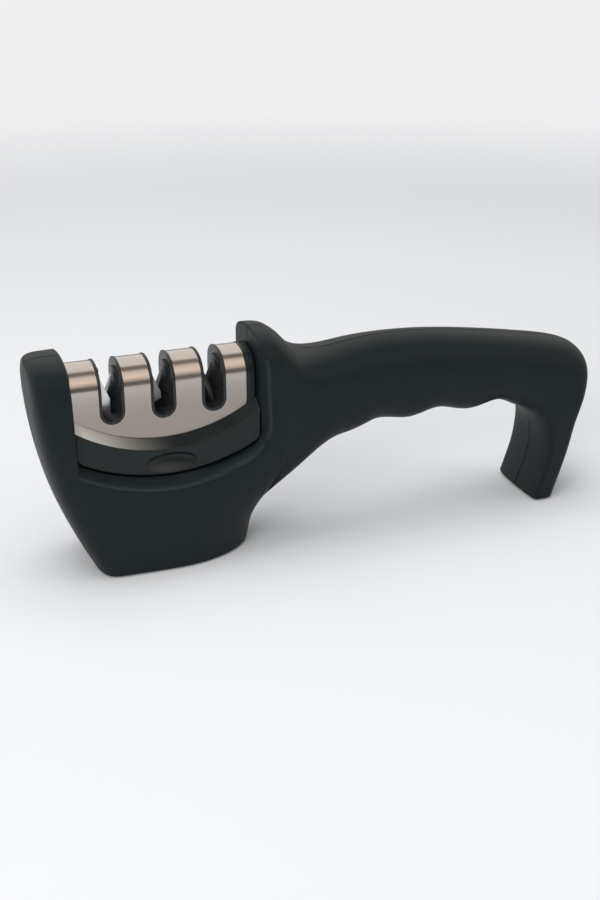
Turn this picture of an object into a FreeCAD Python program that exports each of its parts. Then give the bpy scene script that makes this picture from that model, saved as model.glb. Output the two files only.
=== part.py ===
import FreeCAD, Part
import math
import os
import Sketcher
from FreeCAD import Placement, Rotation, Vector

# Hand-held three-slot blade sharpener: a hollow two-shell handle that stands on its head and its
# leg, with a lift-out cartridge between two horns. Millimetres. +X runs from the head to the leg,
# +Z is up, Y = 0 is the joint between the two shells, and Z = 0 is the table.

SIZES = [
    # Whole handle
    ("overall_length", 202.5), ("front_horn_height", 74.7), ("rear_horn_height", 77.2),
    ("wall", 2.3), ("head_half_width", 18.5), ("grip_half_width", 13.4), ("leg_half_width", 14.7),
    ("base_front_setback", 16.0), ("base_length", 56.0), ("front_round", 11.0),
    ("grip_top_height", 69.3), ("grip_depth", 30.0), ("groove_pitch", 23.7), ("groove_depth", 1.6),
    ("first_groove_setback", 47.0), ("leg_foot_length", 10.3), ("leg_lean", 12.0),
    ("side_taper", 0.08), ("taper_height", 30.0), ("nose_length", 26.0), ("nose_top_height", 34.0),
    # Cartridge bay between the horns
    ("front_horn_depth", 11.9), ("bay_length", 62.3), ("bay_floor_height", 33.7),
    ("bay_arc_radius", 63.0), ("bay_corner_radius", 3.5), ("bay_clearance", 0.35),
    ("border_flare", 3.2), ("border_half_width", 13.4), ("rear_flare_share", 1.15),
    # Cartridge base
    ("base_half_width", 14.0), ("tray_floor", 2.6), ("flange_thickness", 3.0),
    ("ledge_rise", 2.4), ("dimple_length", 17.0), ("dimple_height", 7.0), ("dimple_depth", 1.2),
    ("dimple_rise", 4.4), ("core_seat_rise", 7.3), ("core_screw_seat_drop", 3.6),
    # Steel cover
    ("cover_thickness", 0.7), ("cover_half_width", 9.2), ("cover_crown_height", 71.0),
    ("cover_shoulder_radius", 5.0), ("cover_crown_drop", 0.6), ("cover_edge_radius", 51.5),
    # Knife slots
    ("slot_pitch", 17.0), ("slot_width", 8.3), ("slot_bottom_height", 52.2), ("rim_thickness", 0.9),
    ("rim_proud", 0.25), ("vee_apex_height", 60.5), ("vee_half_angle", 22.0), ("vee_relief", 2.0),
    ("guide_half_gap", 2.2), ("web_half_width", 1.7), ("slot_setback", -0.45),
    # Abrasives
    ("blade_width", 4.2), ("blade_thickness", 1.6), ("blade_length", 19.7), ("blade_tail", 9.5),
    ("bar_width", 3.2), ("bar_thickness", 1.6), ("bar_length", 14.6), ("bar_tail", 4.4),
    ("rod_diameter", 2.4), ("rod_length", 19.2), ("rod_tail", 9.0),
    ("pocket_clearance", 0.08), ("abrasive_split", 0.1),
    # Screws
    ("shell_screw_diameter", 2.9), ("shell_screw_head", 5.4), ("shell_screw_length", 14.0),
    ("core_screw_diameter", 2.0), ("core_screw_head", 3.8), ("core_screw_length", 9.0),
    ("screw_clearance", 0.05), ("head_clearance", 0.3), ("boss_wall", 1.7),
    ("shell_screw_seat", 5.0), ("core_boss_wall", 1.0), ("core_screw_offset", 5.0),
    # Non-slip pads
    ("pad_thickness", 1.4), ("pad_proud", 0.4), ("pad_clearance", 0.15), ("pad_corner", 1.8),
    ("head_pad_inset", 3.2), ("head_pad_setback", 6.5), ("leg_pad_inset", 2.3),
]

doc = FreeCAD.newDocument("slot_sharpener")
sheet = doc.addObject("Spreadsheet::Sheet", "Sizes")
for row, (name, number) in enumerate(SIZES, start=1):
    sheet.set("A%d" % row, name)
    sheet.set("B%d" % row, str(number))
    sheet.setAlias("B%d" % row, name)
doc.recompute()


def size(name):
    """One driving dimension, read back from the sheet."""
    return float(sheet.get(name))


Y_AXIS = Vector(0, 1, 0)
Z_AXIS = Vector(0, 0, 1)
REACH = 200.0       # longer than any piece, for tools that cut right through
EPS = 0.01          # less than any real size: an overlap for fusing, or a tolerance
BASE_SETBACK = 14.0     # from the front of the base to the head's first full section

# Places that several pieces line up with
FRONT_X = -size("overall_length") / 2
REAR_X = size("overall_length") / 2
BAY_FRONT_X = FRONT_X + size("front_horn_depth")
BAY_REAR_X = BAY_FRONT_X + size("bay_length")
BAY_X = (BAY_FRONT_X + BAY_REAR_X) / 2
ARC_CENTRE_Z = size("bay_floor_height") + size("bay_arc_radius")
MIDDLE_SLOT_X = BAY_X + size("slot_setback")
SLOT_XS = [MIDDLE_SLOT_X + step * size("slot_pitch") for step in (-1, 0, 1)]
BASE_FRONT_X = FRONT_X + size("base_front_setback")
BASE_REAR_X = BASE_FRONT_X + size("base_length")


def feature(label, shape):
    """A sub-part whose shape is worked out from the sheet."""
    piece = doc.addObject("Part::Feature", label)
    piece.Label = label
    piece.Shape = shape
    piece.Placement = Placement()
    return piece


def block(low, high):
    """Axis-aligned box between two corners."""
    return Part.makeBox(high[0] - low[0], high[1] - low[1], high[2] - low[2], Vector(*low))


def rod_y(x, z, radius, start, end):
    """Cylinder along Y from start to end."""
    return Part.makeCylinder(radius, end - start, Vector(x, start, z), Y_AXIS)


# ---------------------------------------------------------------- handle shells

def cubic(values, at):
    """Catmull-Rom curve through evenly spaced values."""
    index = min(int(at), len(values) - 2)
    part = at - index
    before = values[index - 1] if index > 0 else 2 * values[0] - values[1]
    after = values[index + 2] if index + 2 < len(values) else 2 * values[-1] - values[-2]
    start, end = values[index], values[index + 1]
    slope_in, slope_out = (end - before) / 2, (after - start) / 2
    return ((2 * part ** 3 - 3 * part ** 2 + 1) * start + (part ** 3 - 2 * part ** 2 + part) * slope_in
            + (3 * part ** 2 - 2 * part ** 3) * end + (part ** 3 - part ** 2) * slope_out)


def rungs():
    """Side view of the handle as rungs from its top line to its underside.

    Each rung is (top x, top z, bottom x, bottom z, half width, top round, bottom round, bow):
    the rounds are how far the edge rounding reaches down the rung, and bow bends the rung in X.
    The lowest rungs run on below the table, where the base and the foot are cut flat.
    """
    below = -6.0
    horn = size("rear_horn_height")
    grip = size("grip_top_height")
    under = grip - size("grip_depth")
    head = size("head_half_width")
    hand = size("grip_half_width")
    leg = size("leg_half_width")
    neck = BASE_REAR_X
    span = REAR_X - neck
    heel = REAR_X - size("leg_lean")
    toe = heel - size("leg_foot_length")
    return [
        (FRONT_X + size("front_round"), size("front_horn_height"), BASE_FRONT_X + BASE_SETBACK, below,
         head * 0.97, 9, 7, -3.4),
        (BAY_X, (size("front_horn_height") + horn) / 2, BASE_FRONT_X + 29, below, head, 9, 7, -0.6),
        (BAY_REAR_X, horn, neck - 12.5, below, head * 0.95, 10, 9, 1.0),
        (BAY_REAR_X + 8.2, horn - 1.8, neck - 3.5, -4, head * 0.91, 9, 10, 1.8),
        (BAY_REAR_X + 14.2, grip + 0.1, neck + 0.4, 4, head * 0.875, 9, 10, 1.0),
        (BAY_REAR_X + 20.2, grip - 2.4, neck + 3.0, 13, head * 0.84, 10, 12, 0.5),
        (BAY_REAR_X + 28, grip - 2.6, neck + 13.3, 23.2, (head + hand) * 0.47, 11, 14, 0),
        (neck + span * 0.301, grip - 1.3, neck + span * 0.201, under - 6.5, hand * 1.06, 12, 14, 0),
        (neck + span * 0.377, grip - 0.5, neck + span * 0.308, under - 2.4, hand * 1.02, 13, 14, 0),
        (neck + span * 0.491, grip - 0.8, neck + span * 0.453, under - 0.8, hand, 13, 13, 0),
        (neck + span * 0.620, grip - 2.6, neck + span * 0.589, under - 0.8, hand, 13, 12, 0),
        (neck + span * 0.772, grip - 5.8, neck + span * 0.719, under - 0.9, hand * 1.01, 12, 11, 0),
        (REAR_X - 8.2, grip - 10.3, toe - 3.3, under - 3.5, hand * 1.04, 12, 10, 0),
        (REAR_X - 0.5, grip - 16.0, toe + 2.2, under - 8.3, leg * 0.98, 10, 6, 0),
        (REAR_X - 0.2, grip - 25.8, toe + 4.6, 25.5, leg, 9, 4, 0),
        (REAR_X - 3.4, 33, toe + 4.9, 19.5, leg, 8, 3, 0),
        (heel + 5.9, 19, toe + 3.8, 12, leg, 7, 2.2, 0),
        (heel + 0.6, 0.2, toe - 0.3, 0.2, leg, 6, 1.8, 0),
        (heel - 0.6, -4, toe - 1.3, -4, leg, 6, 1.8, 0),
    ]


def inset_rungs(rows, inset):
    """The same rungs moved inwards by a wall, ending above the base's floor and the leg's foot."""
    floor = size("pad_thickness") + inset
    moved = []
    for tx, tz, bx, bz, half, top, bottom, bow in rows:
        length = math.hypot(bx - tx, bz - tz)
        ux, uz = (bx - tx) / length, (bz - tz) / length
        low_x, low_z = bx - ux * inset, bz - uz * inset
        if bz < 1.0 < tz:
            low_x += ux / uz * (floor - low_z)
            low_z = floor
        moved.append((tx + ux * inset, tz + uz * inset, low_x, low_z, half - inset,
                      max(top - inset / 2, 3), max(bottom - inset / 2, 3), bow))
    foot_rung = moved[-2]
    return moved[:-2] + [(foot_rung[0] + 0.7, floor, foot_rung[2] + 0.3, floor) + foot_rung[4:]]


def groove(x):
    """Finger grooves: a wave along the underside, faded out at both ends of the grip."""
    pitch = size("groove_pitch")
    first = BASE_REAR_X + size("first_groove_setback")
    last = first + 2 * pitch
    fade_length = 0.5 * pitch
    fade_in = min(max((x - first) / fade_length + 1.5, 0), 1)
    fade_out = min(max((last - x) / fade_length + 1.2, 0), 1)
    return size("groove_depth") * fade_in * fade_out * math.cos(2 * math.pi * (x - first) / pitch)


def nose(x, z, inset):
    """Share of the half width left where the head's lower rear closes to a nose in plan.

    The nose's tip follows the rear wall, which is upright at the foot and then sweeps back in a
    parabola to the underside of the grip; above nose_top_height nothing of the nose is left.
    """
    upright, lean, sweep = 8.0, 0.32, 0.036
    if x > BASE_REAR_X + 1.5 * size("nose_length"):
        return 1.0
    height = max(z - upright, 0)
    tip_x = BASE_REAR_X + 1.0 + lean * height + sweep * height ** 2 - 1.2 * inset
    length = max(size("nose_length") - 0.6 * height, 6)
    share = min(max((tip_x - x) / length, 0.02), 1)
    fade = min(max((size("nose_top_height") - z) / 14, 0), 1)
    return 1 - (1 - math.sqrt(share * (2 - share))) * fade


def side_shape(z, turn):
    """Half width at a height: it tapers both ways from taper_height, and turn is 90 when full."""
    grip = size("grip_top_height")
    taper = 1 - size("side_taper") * ((z - size("taper_height")) / (0.6 * grip)) ** 2
    low_power, high_power = 0.7, 0.42
    power = low_power + (high_power - low_power) * min(max(z / grip, 0), 1)
    return taper * math.sin(turn) ** power


def section(row, front_turn, inset, count=24):
    """Half cross-section along one rung, from the top line round the side to the underside.

    Both rounds are quarter superellipses, each over two fifths of the points.
    """
    tx, tz, bx, bz, half, top, bottom, bow = row
    bz += groove(bx)
    length = math.hypot(bx - tx, bz - tz)
    top, bottom = min(top, 0.46 * length), min(bottom, 0.46 * length)
    squareness, round_share = 0.12, 0.4
    points = []
    for step in range(count + 1):
        along = step / count
        turn = math.pi / 2 * min(min(along, 1 - along) / round_share, 1)
        if along < round_share:
            share = top * (1 - math.cos(turn)) / length
        elif along > 1 - round_share:
            share = 1 - bottom * (1 - math.cos(turn)) / length
        else:
            first, last = top / length, 1 - bottom / length
            share = first + (last - first) * (along - round_share) / (1 - 2 * round_share)
        x = tx + (bx - tx) * share + 4 * bow * share * (1 - share)
        z = tz + (bz - tz) * share
        width = half * math.sin(turn + squareness * math.sin(2 * turn))
        width *= side_shape(z, front_turn) * nose(x, z, inset)
        points.append(Vector(x, -width if 0 < step < count else 0, z))
    return points


def front_rows(first, inset, count=8):
    """Rungs of the rounded front: a squarish curve in plan that runs into the first full rung.

    Each is (rung, front turn): the turn goes from 0 at the joint to 90 degrees at the first rung.
    """
    tx, tz, bx, bz, half, top, bottom, bow = first
    top_depth = size("front_round") - inset
    base_depth = BASE_SETBACK - 4.8 - inset
    corner_drop, front_bow = 2.2, -6.8
    rows = []
    for step in range(count):
        turn = math.pi / 2 * step / count
        back = 1 - math.sqrt(math.cos(turn))
        drop = corner_drop * (1 - math.sin(turn + 0.15 * math.sin(2 * turn)))
        rows.append(((tx - top_depth * (1 - back), tz - drop, bx - base_depth * (1 - back), bz,
                      half, top, bottom, front_bow + (bow - front_bow) * back), turn))
    return rows


def smooth_skin(grid):
    """Cubic skin that a net of points pulls into shape, so that it can't ripple between them."""
    degree = 3
    knots = []
    counts = []
    for number in (len(grid), len(grid[0])):
        spans = number - degree
        knots.append([float(step) for step in range(spans + 1)])
        counts.append([degree + 1] + [1] * (spans - 1) + [degree + 1])
    surface = Part.BSplineSurface()
    surface.buildFromPolesMultsKnots(grid, counts[0], counts[1], knots[0], knots[1],
                                     False, False, degree, degree)
    return surface.toShape()


def half_body(inset):
    """Closed solid on the -Y side of the joint, its skin inset from the outside by a wall."""
    rows = rungs()
    if inset:
        rows = inset_rungs(rows, inset)
    per_rung = 3
    fields = list(zip(*rows))
    steps = [step / per_rung for step in range((len(rows) - 1) * per_rung + 1)]
    full = [(tuple(cubic(field, step) for field in fields), math.pi / 2) for step in steps]
    grid = [section(row, turn, inset) for row, turn in front_rows(rows[0], inset) + full]
    skin = smooth_skin(grid)
    foot = Part.LineSegment(grid[-1][0], grid[-1][-1]).toShape()
    joint_edges = [edge for edge in skin.Edges if abs(edge.BoundBox.YLength) < 1e-4]
    foot_edge = [edge for edge in skin.Edges if abs(edge.BoundBox.YLength) >= 1e-4]
    joint = Part.Face(Part.Wire(Part.__sortEdges__(joint_edges + [foot])))
    end = Part.Face(Part.Wire(Part.__sortEdges__(foot_edge + [foot])))
    shell = Part.Shell([skin, joint, end])
    shell.sewShape()
    solid = Part.Solid(shell)
    if solid.Volume < 0:
        solid.reverse()
    return solid


def corner_centre(x_wall, inward, radius, arc_radius):
    """Centre of the round between a vertical wall and the floor arc, and its point on the arc."""
    x = x_wall + inward * radius
    z = ARC_CENTRE_Z - math.sqrt((arc_radius - radius) ** 2 - (x - BAY_X) ** 2)
    reach = arc_radius / (arc_radius - radius)
    on_arc = (BAY_X + (x - BAY_X) * reach, ARC_CENTRE_Z + (z - ARC_CENTRE_Z) * reach)
    return (x, z), on_arc


def bay_wire(offset, y, top, front_offset=None, rear_offset=None):
    """Bay outline in the XZ plane at y: two upright walls, two corner rounds and a floor arc.

    A positive offset shrinks the outline, as for what slides in the bay; a negative one grows it.
    The two walls have an offset of their own where the border isn't bevelled as the floor's is.
    """
    front_offset = offset if front_offset is None else front_offset
    rear_offset = offset if rear_offset is None else rear_offset
    front, rear = BAY_FRONT_X + front_offset, BAY_REAR_X - rear_offset
    arc_radius = size("bay_arc_radius") - offset
    radius = max(size("bay_corner_radius") - offset, 0.5)
    (fx, fz), front_on = corner_centre(front, 1, radius, arc_radius)
    (rx, rz), rear_on = corner_centre(rear, -1, radius, arc_radius)

    def point(x, z):
        return Vector(x, y, z)

    def middle(cx, cz, first, second, radius):
        mx, mz = (first[0] + second[0]) / 2 - cx, (first[1] + second[1]) / 2 - cz
        length = math.hypot(mx, mz)
        return point(cx + mx / length * radius, cz + mz / length * radius)

    front_wall, rear_wall = (front, fz), (rear, rz)
    edges = [
        Part.LineSegment(point(front, top), point(*front_wall)),
        Part.Arc(point(*front_wall), middle(fx, fz, front_wall, front_on, radius), point(*front_on)),
        Part.Arc(point(*front_on), point(BAY_X, ARC_CENTRE_Z - arc_radius), point(*rear_on)),
        Part.Arc(point(*rear_on), middle(rx, rz, rear_wall, rear_on, radius), point(*rear_wall)),
        Part.LineSegment(point(*rear_wall), point(rear, top)),
        Part.LineSegment(point(rear, top), point(front, top)),
    ]
    return Part.Wire([edge.toShape() for edge in edges])


def bay_prism(offset, half_width, top=REACH):
    """The bay outline carried across the joint to half_width on each side."""
    return Part.Face(bay_wire(offset, -half_width, top)).extrude(Vector(0, 2 * half_width, 0))


def border_flare():
    """Tool for the bevelled border of the bay on the -Y side, wider towards the outside."""
    inner = size("border_half_width")
    outer = size("head_half_width") + 1.0
    flare = size("border_flare") * (outer - inner) / (size("head_half_width") - inner)
    rear = flare * size("rear_flare_share")
    wires = [bay_wire(0.0, -inner, REACH), bay_wire(-flare, -outer, REACH, -EPS, -rear)]
    return Part.makeLoft(wires, True, True)


GRIP_MIDDLE_Z = size("grip_top_height") - size("grip_depth") / 2
SHELL_SCREWS = [
    (BASE_FRONT_X + 4.5, 21.0),
    (BASE_REAR_X - 14.0, 17.0),
    (BAY_REAR_X + 15.0, GRIP_MIDDLE_Z - 3.8),
    (BASE_REAR_X + 68.0, GRIP_MIDDLE_Z - 1.0),
    (REAR_X - 13.5, GRIP_MIDDLE_Z - 10.0),
]
SEAT_Y = size("shell_screw_seat")       # the screw heads' seat, on the +Y side of the joint


def recess(pad, centre_x):
    """Space for a non-slip pad in the underside, a clearance larger than the pad all round."""
    grown = size("pad_clearance")
    half_x, half_y = pad["length"][1] / 2 + grown, pad["width"][1] / 2 + grown
    top = size("pad_thickness") + grown
    space = block((centre_x - half_x, -half_y, -top), (centre_x + half_x, half_y, top))
    uprights = [edge for edge in space.Edges if abs(edge.BoundBox.ZLength - 2 * top) < EPS]
    return space.makeFillet(size("pad_corner") + grown, uprights)


def pads():
    """The pad under the head and the pad under the leg: centre x, and sizes tied to the sheet."""
    head_length = size("base_length") - 2 * size("head_pad_inset") - size("head_pad_setback")
    head_width = 2 * (size("head_half_width") - 2 * size("head_pad_inset"))
    leg_length = size("leg_foot_length") - 2 * size("leg_pad_inset")
    leg_width = 2 * (size("leg_half_width") - 2 * size("leg_pad_inset"))
    head = {
        "length": ("Sizes.base_length - 2 * Sizes.head_pad_inset - Sizes.head_pad_setback",
                   head_length),
        "width": ("2 * (Sizes.head_half_width - 2 * Sizes.head_pad_inset)", head_width),
    }
    leg = {
        "length": ("Sizes.leg_foot_length - 2 * Sizes.leg_pad_inset", leg_length),
        "width": ("2 * (Sizes.leg_half_width - 2 * Sizes.leg_pad_inset)", leg_width),
    }
    head_x = BASE_FRONT_X + size("head_pad_inset") + head_length / 2
    leg_x = REAR_X - size("leg_lean") - size("leg_foot_length") / 2
    return [("head_pad", head, head_x), ("leg_pad", leg, leg_x)]


def shell_half():
    """Hollow shell on the -Y side before its bosses are drilled."""
    outer = half_body(0.0)
    below = block((-REACH, -REACH, -REACH), (REACH, REACH, size("pad_proud")))
    outer = outer.cut(below)
    cavity = half_body(size("wall")).cut(bay_prism(-size("wall"), REACH))
    shell = outer.cut(cavity)
    radius = size("shell_screw_head") / 2 + size("head_clearance") + size("boss_wall")
    bosses = [rod_y(x, z, radius, -REACH / 4, 0).common(outer) for x, z in SHELL_SCREWS]
    shell = shell.fuse(bosses)
    recesses = [recess(pad, centre_x) for label, pad, centre_x in pads()]
    return shell.cut(recesses + [bay_prism(0.0, REACH), border_flare()])


def drilled(shell, side):
    """Shell with its screw holes: pilots on the -Y side, through holes and head wells on the +Y."""
    shank = size("shell_screw_diameter") / 2 + size("screw_clearance")
    head = size("shell_screw_head") / 2 + size("head_clearance")
    tip = SEAT_Y - size("shell_screw_length") - size("head_clearance")
    tools = []
    for x, z in SHELL_SCREWS:
        if side < 0:
            tools.append(rod_y(x, z, shank, tip, 1.0))
        else:
            tools.append(rod_y(x, z, shank, -1.0, SEAT_Y + 1.0))
            tools.append(rod_y(x, z, head, SEAT_Y, REACH))
    return shell.cut(tools)


# ---------------------------------------------------------------- cartridge

def arch_prism(half_width, crown, radius, bottom, half_length):
    """Upside-down U section in the YZ plane with a gently crowned top, carried along X."""
    start = BAY_X - half_length
    side = crown - size("cover_crown_drop") - radius
    lean = radius * (1 - math.sqrt(0.5))

    def point(y, z):
        return Vector(start, y, z)

    shoulder = half_width - radius
    edges = [
        Part.LineSegment(point(-half_width, bottom), point(-half_width, side)),
        Part.Arc(point(-half_width, side), point(-half_width + lean, side + radius - lean),
                 point(-shoulder, side + radius)),
        Part.Arc(point(-shoulder, side + radius), point(0, crown), point(shoulder, side + radius)),
        Part.Arc(point(shoulder, side + radius), point(half_width - lean, side + radius - lean),
                 point(half_width, side)),
        Part.LineSegment(point(half_width, side), point(half_width, bottom)),
        Part.LineSegment(point(half_width, bottom), point(-half_width, bottom)),
    ]
    face = Part.Face(Part.Wire([edge.toShape() for edge in edges]))
    return face.extrude(Vector(2 * half_length, 0, 0))


def slot_prism(x, width, bottom, start, end):
    """Round-bottomed slot, open at the top, carried along Y from start to end."""
    half = width / 2
    top = size("cover_crown_height") + 5.0

    def point(px, pz):
        return Vector(px, start, pz)

    edges = [
        Part.LineSegment(point(x - half, top), point(x - half, bottom + half)),
        Part.Arc(point(x - half, bottom + half), point(x, bottom), point(x + half, bottom + half)),
        Part.LineSegment(point(x + half, bottom + half), point(x + half, top)),
        Part.LineSegment(point(x + half, top), point(x - half, top)),
    ]
    face = Part.Face(Part.Wire([edge.toShape() for edge in edges]))
    return face.extrude(Vector(0, end - start, 0))


def guide_prism(x, half_width):
    """Gap that the blade runs in: a vee below the crossed abrasives' own, then upright walls."""
    apex = size("vee_apex_height") - size("vee_relief")
    half = size("guide_half_gap")
    shoulder = apex + half / math.tan(math.radians(size("vee_half_angle")))
    top = size("cover_crown_height") + 5.0
    outline = [(x, apex), (x + half, shoulder), (x + half, top), (x - half, top), (x - half, shoulder)]
    ring = [Vector(px, -half_width, pz) for px, pz in outline]
    face = Part.Face(Part.makePolygon(ring + ring[:1]))
    return face.extrude(Vector(0, 2 * half_width, 0))


FIT = size("pocket_clearance")
FLANGE_INNER = size("bay_length") / 2 - size("bay_clearance") - size("flange_thickness")
CORE_HALF_WIDTH = size("cover_half_width") - size("cover_thickness") - FIT
CORE_CROWN = size("cover_crown_height") - size("cover_thickness") - FIT
CORE_SEAT_Z = size("bay_floor_height") + size("core_seat_rise")
SCREW_SEAT_Z = CORE_SEAT_Z - size("core_screw_seat_drop")
CORE_SCREWS = [(MIDDLE_SLOT_X + step * size("slot_pitch") / 2, side * size("core_screw_offset"))
               for step in (-1, 1) for side in (-1, 1)]


def ledge_cone(side):
    """Space above the sloping ledge on one side: a cone about the floor arc's own centre line."""
    start = size("cover_half_width")
    width = size("base_half_width") - start
    slope = size("ledge_rise") / width
    reach = width + 4.0
    centre = Vector(BAY_X, side * start, ARC_CENTRE_Z)
    radius = size("cover_edge_radius")
    return Part.makeCone(radius, radius + slope * reach, reach, centre, Vector(0, side, 0))


def dimple(side):
    """Thumb dimple: a flat ellipsoid sunk into the side of the base."""
    matrix = FreeCAD.Matrix()
    matrix.scale(size("dimple_length") / 2, size("dimple_depth"), size("dimple_height") / 2)
    matrix.move(BAY_X, side * size("base_half_width"), size("bay_floor_height") + size("dimple_rise"))
    return Part.makeSphere(1.0).transformGeometry(matrix)


def cartridge_base():
    """Arc-bottomed tray with a sloping ledge, an end flange at each end and thumb dimples.

    The front flange stops under the steel cover; the rear one frames the cover's end.
    """
    half = size("base_half_width")
    clear = size("bay_clearance")
    edge = size("cover_edge_radius")
    start = size("cover_half_width")
    body = bay_prism(clear, half, ARC_CENTRE_Z - edge + 16)
    body = body.cut([ledge_cone(-1), ledge_cone(1), rod_y(BAY_X, ARC_CENTRE_Z, edge, -start, start)])
    shoulder = size("cover_shoulder_radius")
    reach = FLANGE_INNER + size("flange_thickness")
    rear_flange = arch_prism(start + 0.3, size("cover_crown_height") + 0.1, shoulder,
                             CORE_SEAT_Z + 6, reach)
    front_flange = arch_prism(CORE_HALF_WIDTH, CORE_CROWN, shoulder, CORE_SEAT_Z + 6, reach)
    middle = block((BAY_X - FLANGE_INNER, -half, 0), (BAY_X + FLANGE_INNER, half, REACH))
    body = body.fuse([
        rear_flange.cut(block((-REACH, -half, 0), (BAY_X + FLANGE_INNER, half, REACH))),
        front_flange.cut(block((BAY_X - FLANGE_INNER, -half, 0), (REACH, half, REACH))),
    ])
    pocket = bay_prism(clear + size("tray_floor"), CORE_HALF_WIDTH + FIT)
    pocket = pocket.common(middle)
    boss_radius = size("core_screw_head") / 2 + size("head_clearance") + size("core_boss_wall")
    bosses = [Part.makeCylinder(boss_radius, CORE_SEAT_Z, Vector(x, y, 0)) for x, y in CORE_SCREWS]
    body = body.cut(pocket.cut(bosses)).cut([dimple(-1), dimple(1)])
    shank = size("core_screw_diameter") / 2 + size("screw_clearance")
    head = size("core_screw_head") / 2 + size("head_clearance")
    holes = [Part.makeCylinder(shank, REACH, Vector(x, y, 0)) for x, y in CORE_SCREWS]
    wells = [Part.makeCylinder(head, SCREW_SEAT_Z, Vector(x, y, 0)) for x, y in CORE_SCREWS]
    return body.cut(holes + wells)


def core_block():
    """Moulded core with three rimmed slots, each with a notched web across its middle."""
    offset = size("bay_clearance") + size("tray_floor") + FIT
    arch = arch_prism(CORE_HALF_WIDTH, CORE_CROWN, size("cover_shoulder_radius"), CORE_SEAT_Z,
                      FLANGE_INNER - FIT)
    body = arch.common(bay_prism(offset, REACH))
    proud = size("rim_proud")
    skin = arch_prism(size("cover_half_width") + proud, size("cover_crown_height") + proud,
                      size("cover_shoulder_radius"), CORE_SEAT_Z + 1, FLANGE_INNER)
    outer_width = size("slot_width") - 2 * FIT
    bottom = size("slot_bottom_height") + FIT
    rims = [slot_prism(x, outer_width, bottom, -REACH, REACH).common(skin) for x in SLOT_XS]
    body = body.fuse(rims)
    rim = size("rim_thickness")
    web = size("web_half_width")
    tools = []
    for x in SLOT_XS:
        for start, end in ((-REACH, -web), (web, REACH)):
            tools.append(slot_prism(x, outer_width - 2 * rim, bottom + rim, start, end))
        tools.append(guide_prism(x, web + EPS))
    return body.cut(tools)


def leaning(shape, x, side):
    """A piece drawn with its working face on x = 0 and its apex at z = 0, leaned into the vee."""
    placed = shape.copy()
    angle = side * size("vee_half_angle")
    placed.Placement = Placement(Vector(x, 0, size("vee_apex_height")), Rotation(Y_AXIS, angle))
    return placed


STAGES = [("carbide_blade", "blade"), ("diamond_bar", "bar"), ("ceramic_rod", "rod")]
SPLIT = size("abrasive_split")      # half the gap between the two crossed abrasives


def pocket(kind, side):
    """Space for one abrasive in its half of the core, open at the joint, upright before it leans."""
    low = -size(kind + "_tail") - FIT
    high = low + size(kind + "_length") + 2 * FIT
    if kind == "rod":
        radius = size("rod_diameter") / 2
        x, y = side * radius, side * (radius + SPLIT)
        bore = Part.makeCylinder(radius + FIT, high - low, Vector(x, y, low))
        mouth = block((x - radius - FIT, min(0, y), low), (x + radius + FIT, max(0, y), high))
        return bore.fuse(mouth)
    xs = sorted((-side * FIT, side * (size(kind + "_width") + FIT)))
    ys = sorted((0, side * (SPLIT + size(kind + "_thickness") + FIT)))
    return block((xs[0], ys[0], low), (xs[1], ys[1], high))


def core_half(core, side):
    """One half of the core, with pockets for its three abrasives and pilots for its screws."""
    keep = block((-REACH, min(0, side * REACH), -REACH), (REACH, max(0, side * REACH), REACH))
    half = core.common(keep)
    tools = [leaning(pocket(kind, side), x, side) for x, (label, kind) in zip(SLOT_XS, STAGES)]
    shank = size("core_screw_diameter") / 2 + size("screw_clearance")
    depth = SCREW_SEAT_Z + size("core_screw_length") + size("head_clearance")
    for x, y in CORE_SCREWS:
        if y * side > 0:
            tools.append(Part.makeCylinder(shank, depth, Vector(x, y, 0)))
    return half.cut(tools)


def steel_cover():
    """Bent sheet over the core and the front flange: an arch with three slots.

    Its lower edges are cut to an arc, and its rear end stops at the rear flange.
    """
    thickness = size("cover_thickness")
    half_length = FLANGE_INNER + size("flange_thickness")
    behind = block((BAY_X + FLANGE_INNER - FIT, -REACH, 0), (REACH, REACH, REACH))
    outer = arch_prism(size("cover_half_width"), size("cover_crown_height"),
                       size("cover_shoulder_radius"), CORE_SEAT_Z, half_length)
    inner = arch_prism(size("cover_half_width") - thickness, size("cover_crown_height") - thickness,
                       size("cover_shoulder_radius") - thickness, CORE_SEAT_Z - 1, half_length + 1)
    sheet_metal = outer.cut(inner)
    edge = rod_y(BAY_X, ARC_CENTRE_Z, size("cover_edge_radius") - FIT, -REACH, REACH)
    slots = [slot_prism(x, size("slot_width"), size("slot_bottom_height"), -REACH, REACH)
             for x in SLOT_XS]
    return sheet_metal.common(edge).cut(slots + [behind])


# ---------------------------------------------------------------- pieces in the document

def plane_of(body, role):
    """One of a body's own origin planes."""
    return [item for item in body.Origin.OriginFeatures if item.Role == role][0]


def cell(name, factor=1.0):
    """A share of a driving dimension, as the expression that holds it and as a number."""
    return "Sizes.%s * %g" % (name, factor), size(name) * factor


ZERO = ("", 0.0)


def bound_outline(body, name, corners):
    """Closed polygon sketch on the XY plane, each corner tied to the sheet in X and in Y."""
    sketch = body.newObject("Sketcher::SketchObject", name)
    sketch.AttachmentSupport = (plane_of(body, "XY_Plane"), "")
    sketch.MapMode = "FlatFace"
    count = len(corners)
    points = [Vector(x[1], y[1], 0) for x, y in corners]
    for index in range(count):
        sketch.addGeometry(Part.LineSegment(points[index], points[(index + 1) % count]), False)
    for index in range(count):
        sketch.addConstraint(Sketcher.Constraint("Coincident", index, 2, (index + 1) % count, 1))
    for index, (x, y) in enumerate(corners):
        for kind, (text, number), axis in (("DistanceX", x, -2), ("DistanceY", y, -1)):
            if text:
                place = sketch.addConstraint(Sketcher.Constraint(kind, -1, 1, index, 1, number))
                sketch.setExpression("Constraints[%d]" % place, text)
            else:
                sketch.addConstraint(Sketcher.Constraint("PointOnObject", index, 1, axis))
    return sketch


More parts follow.
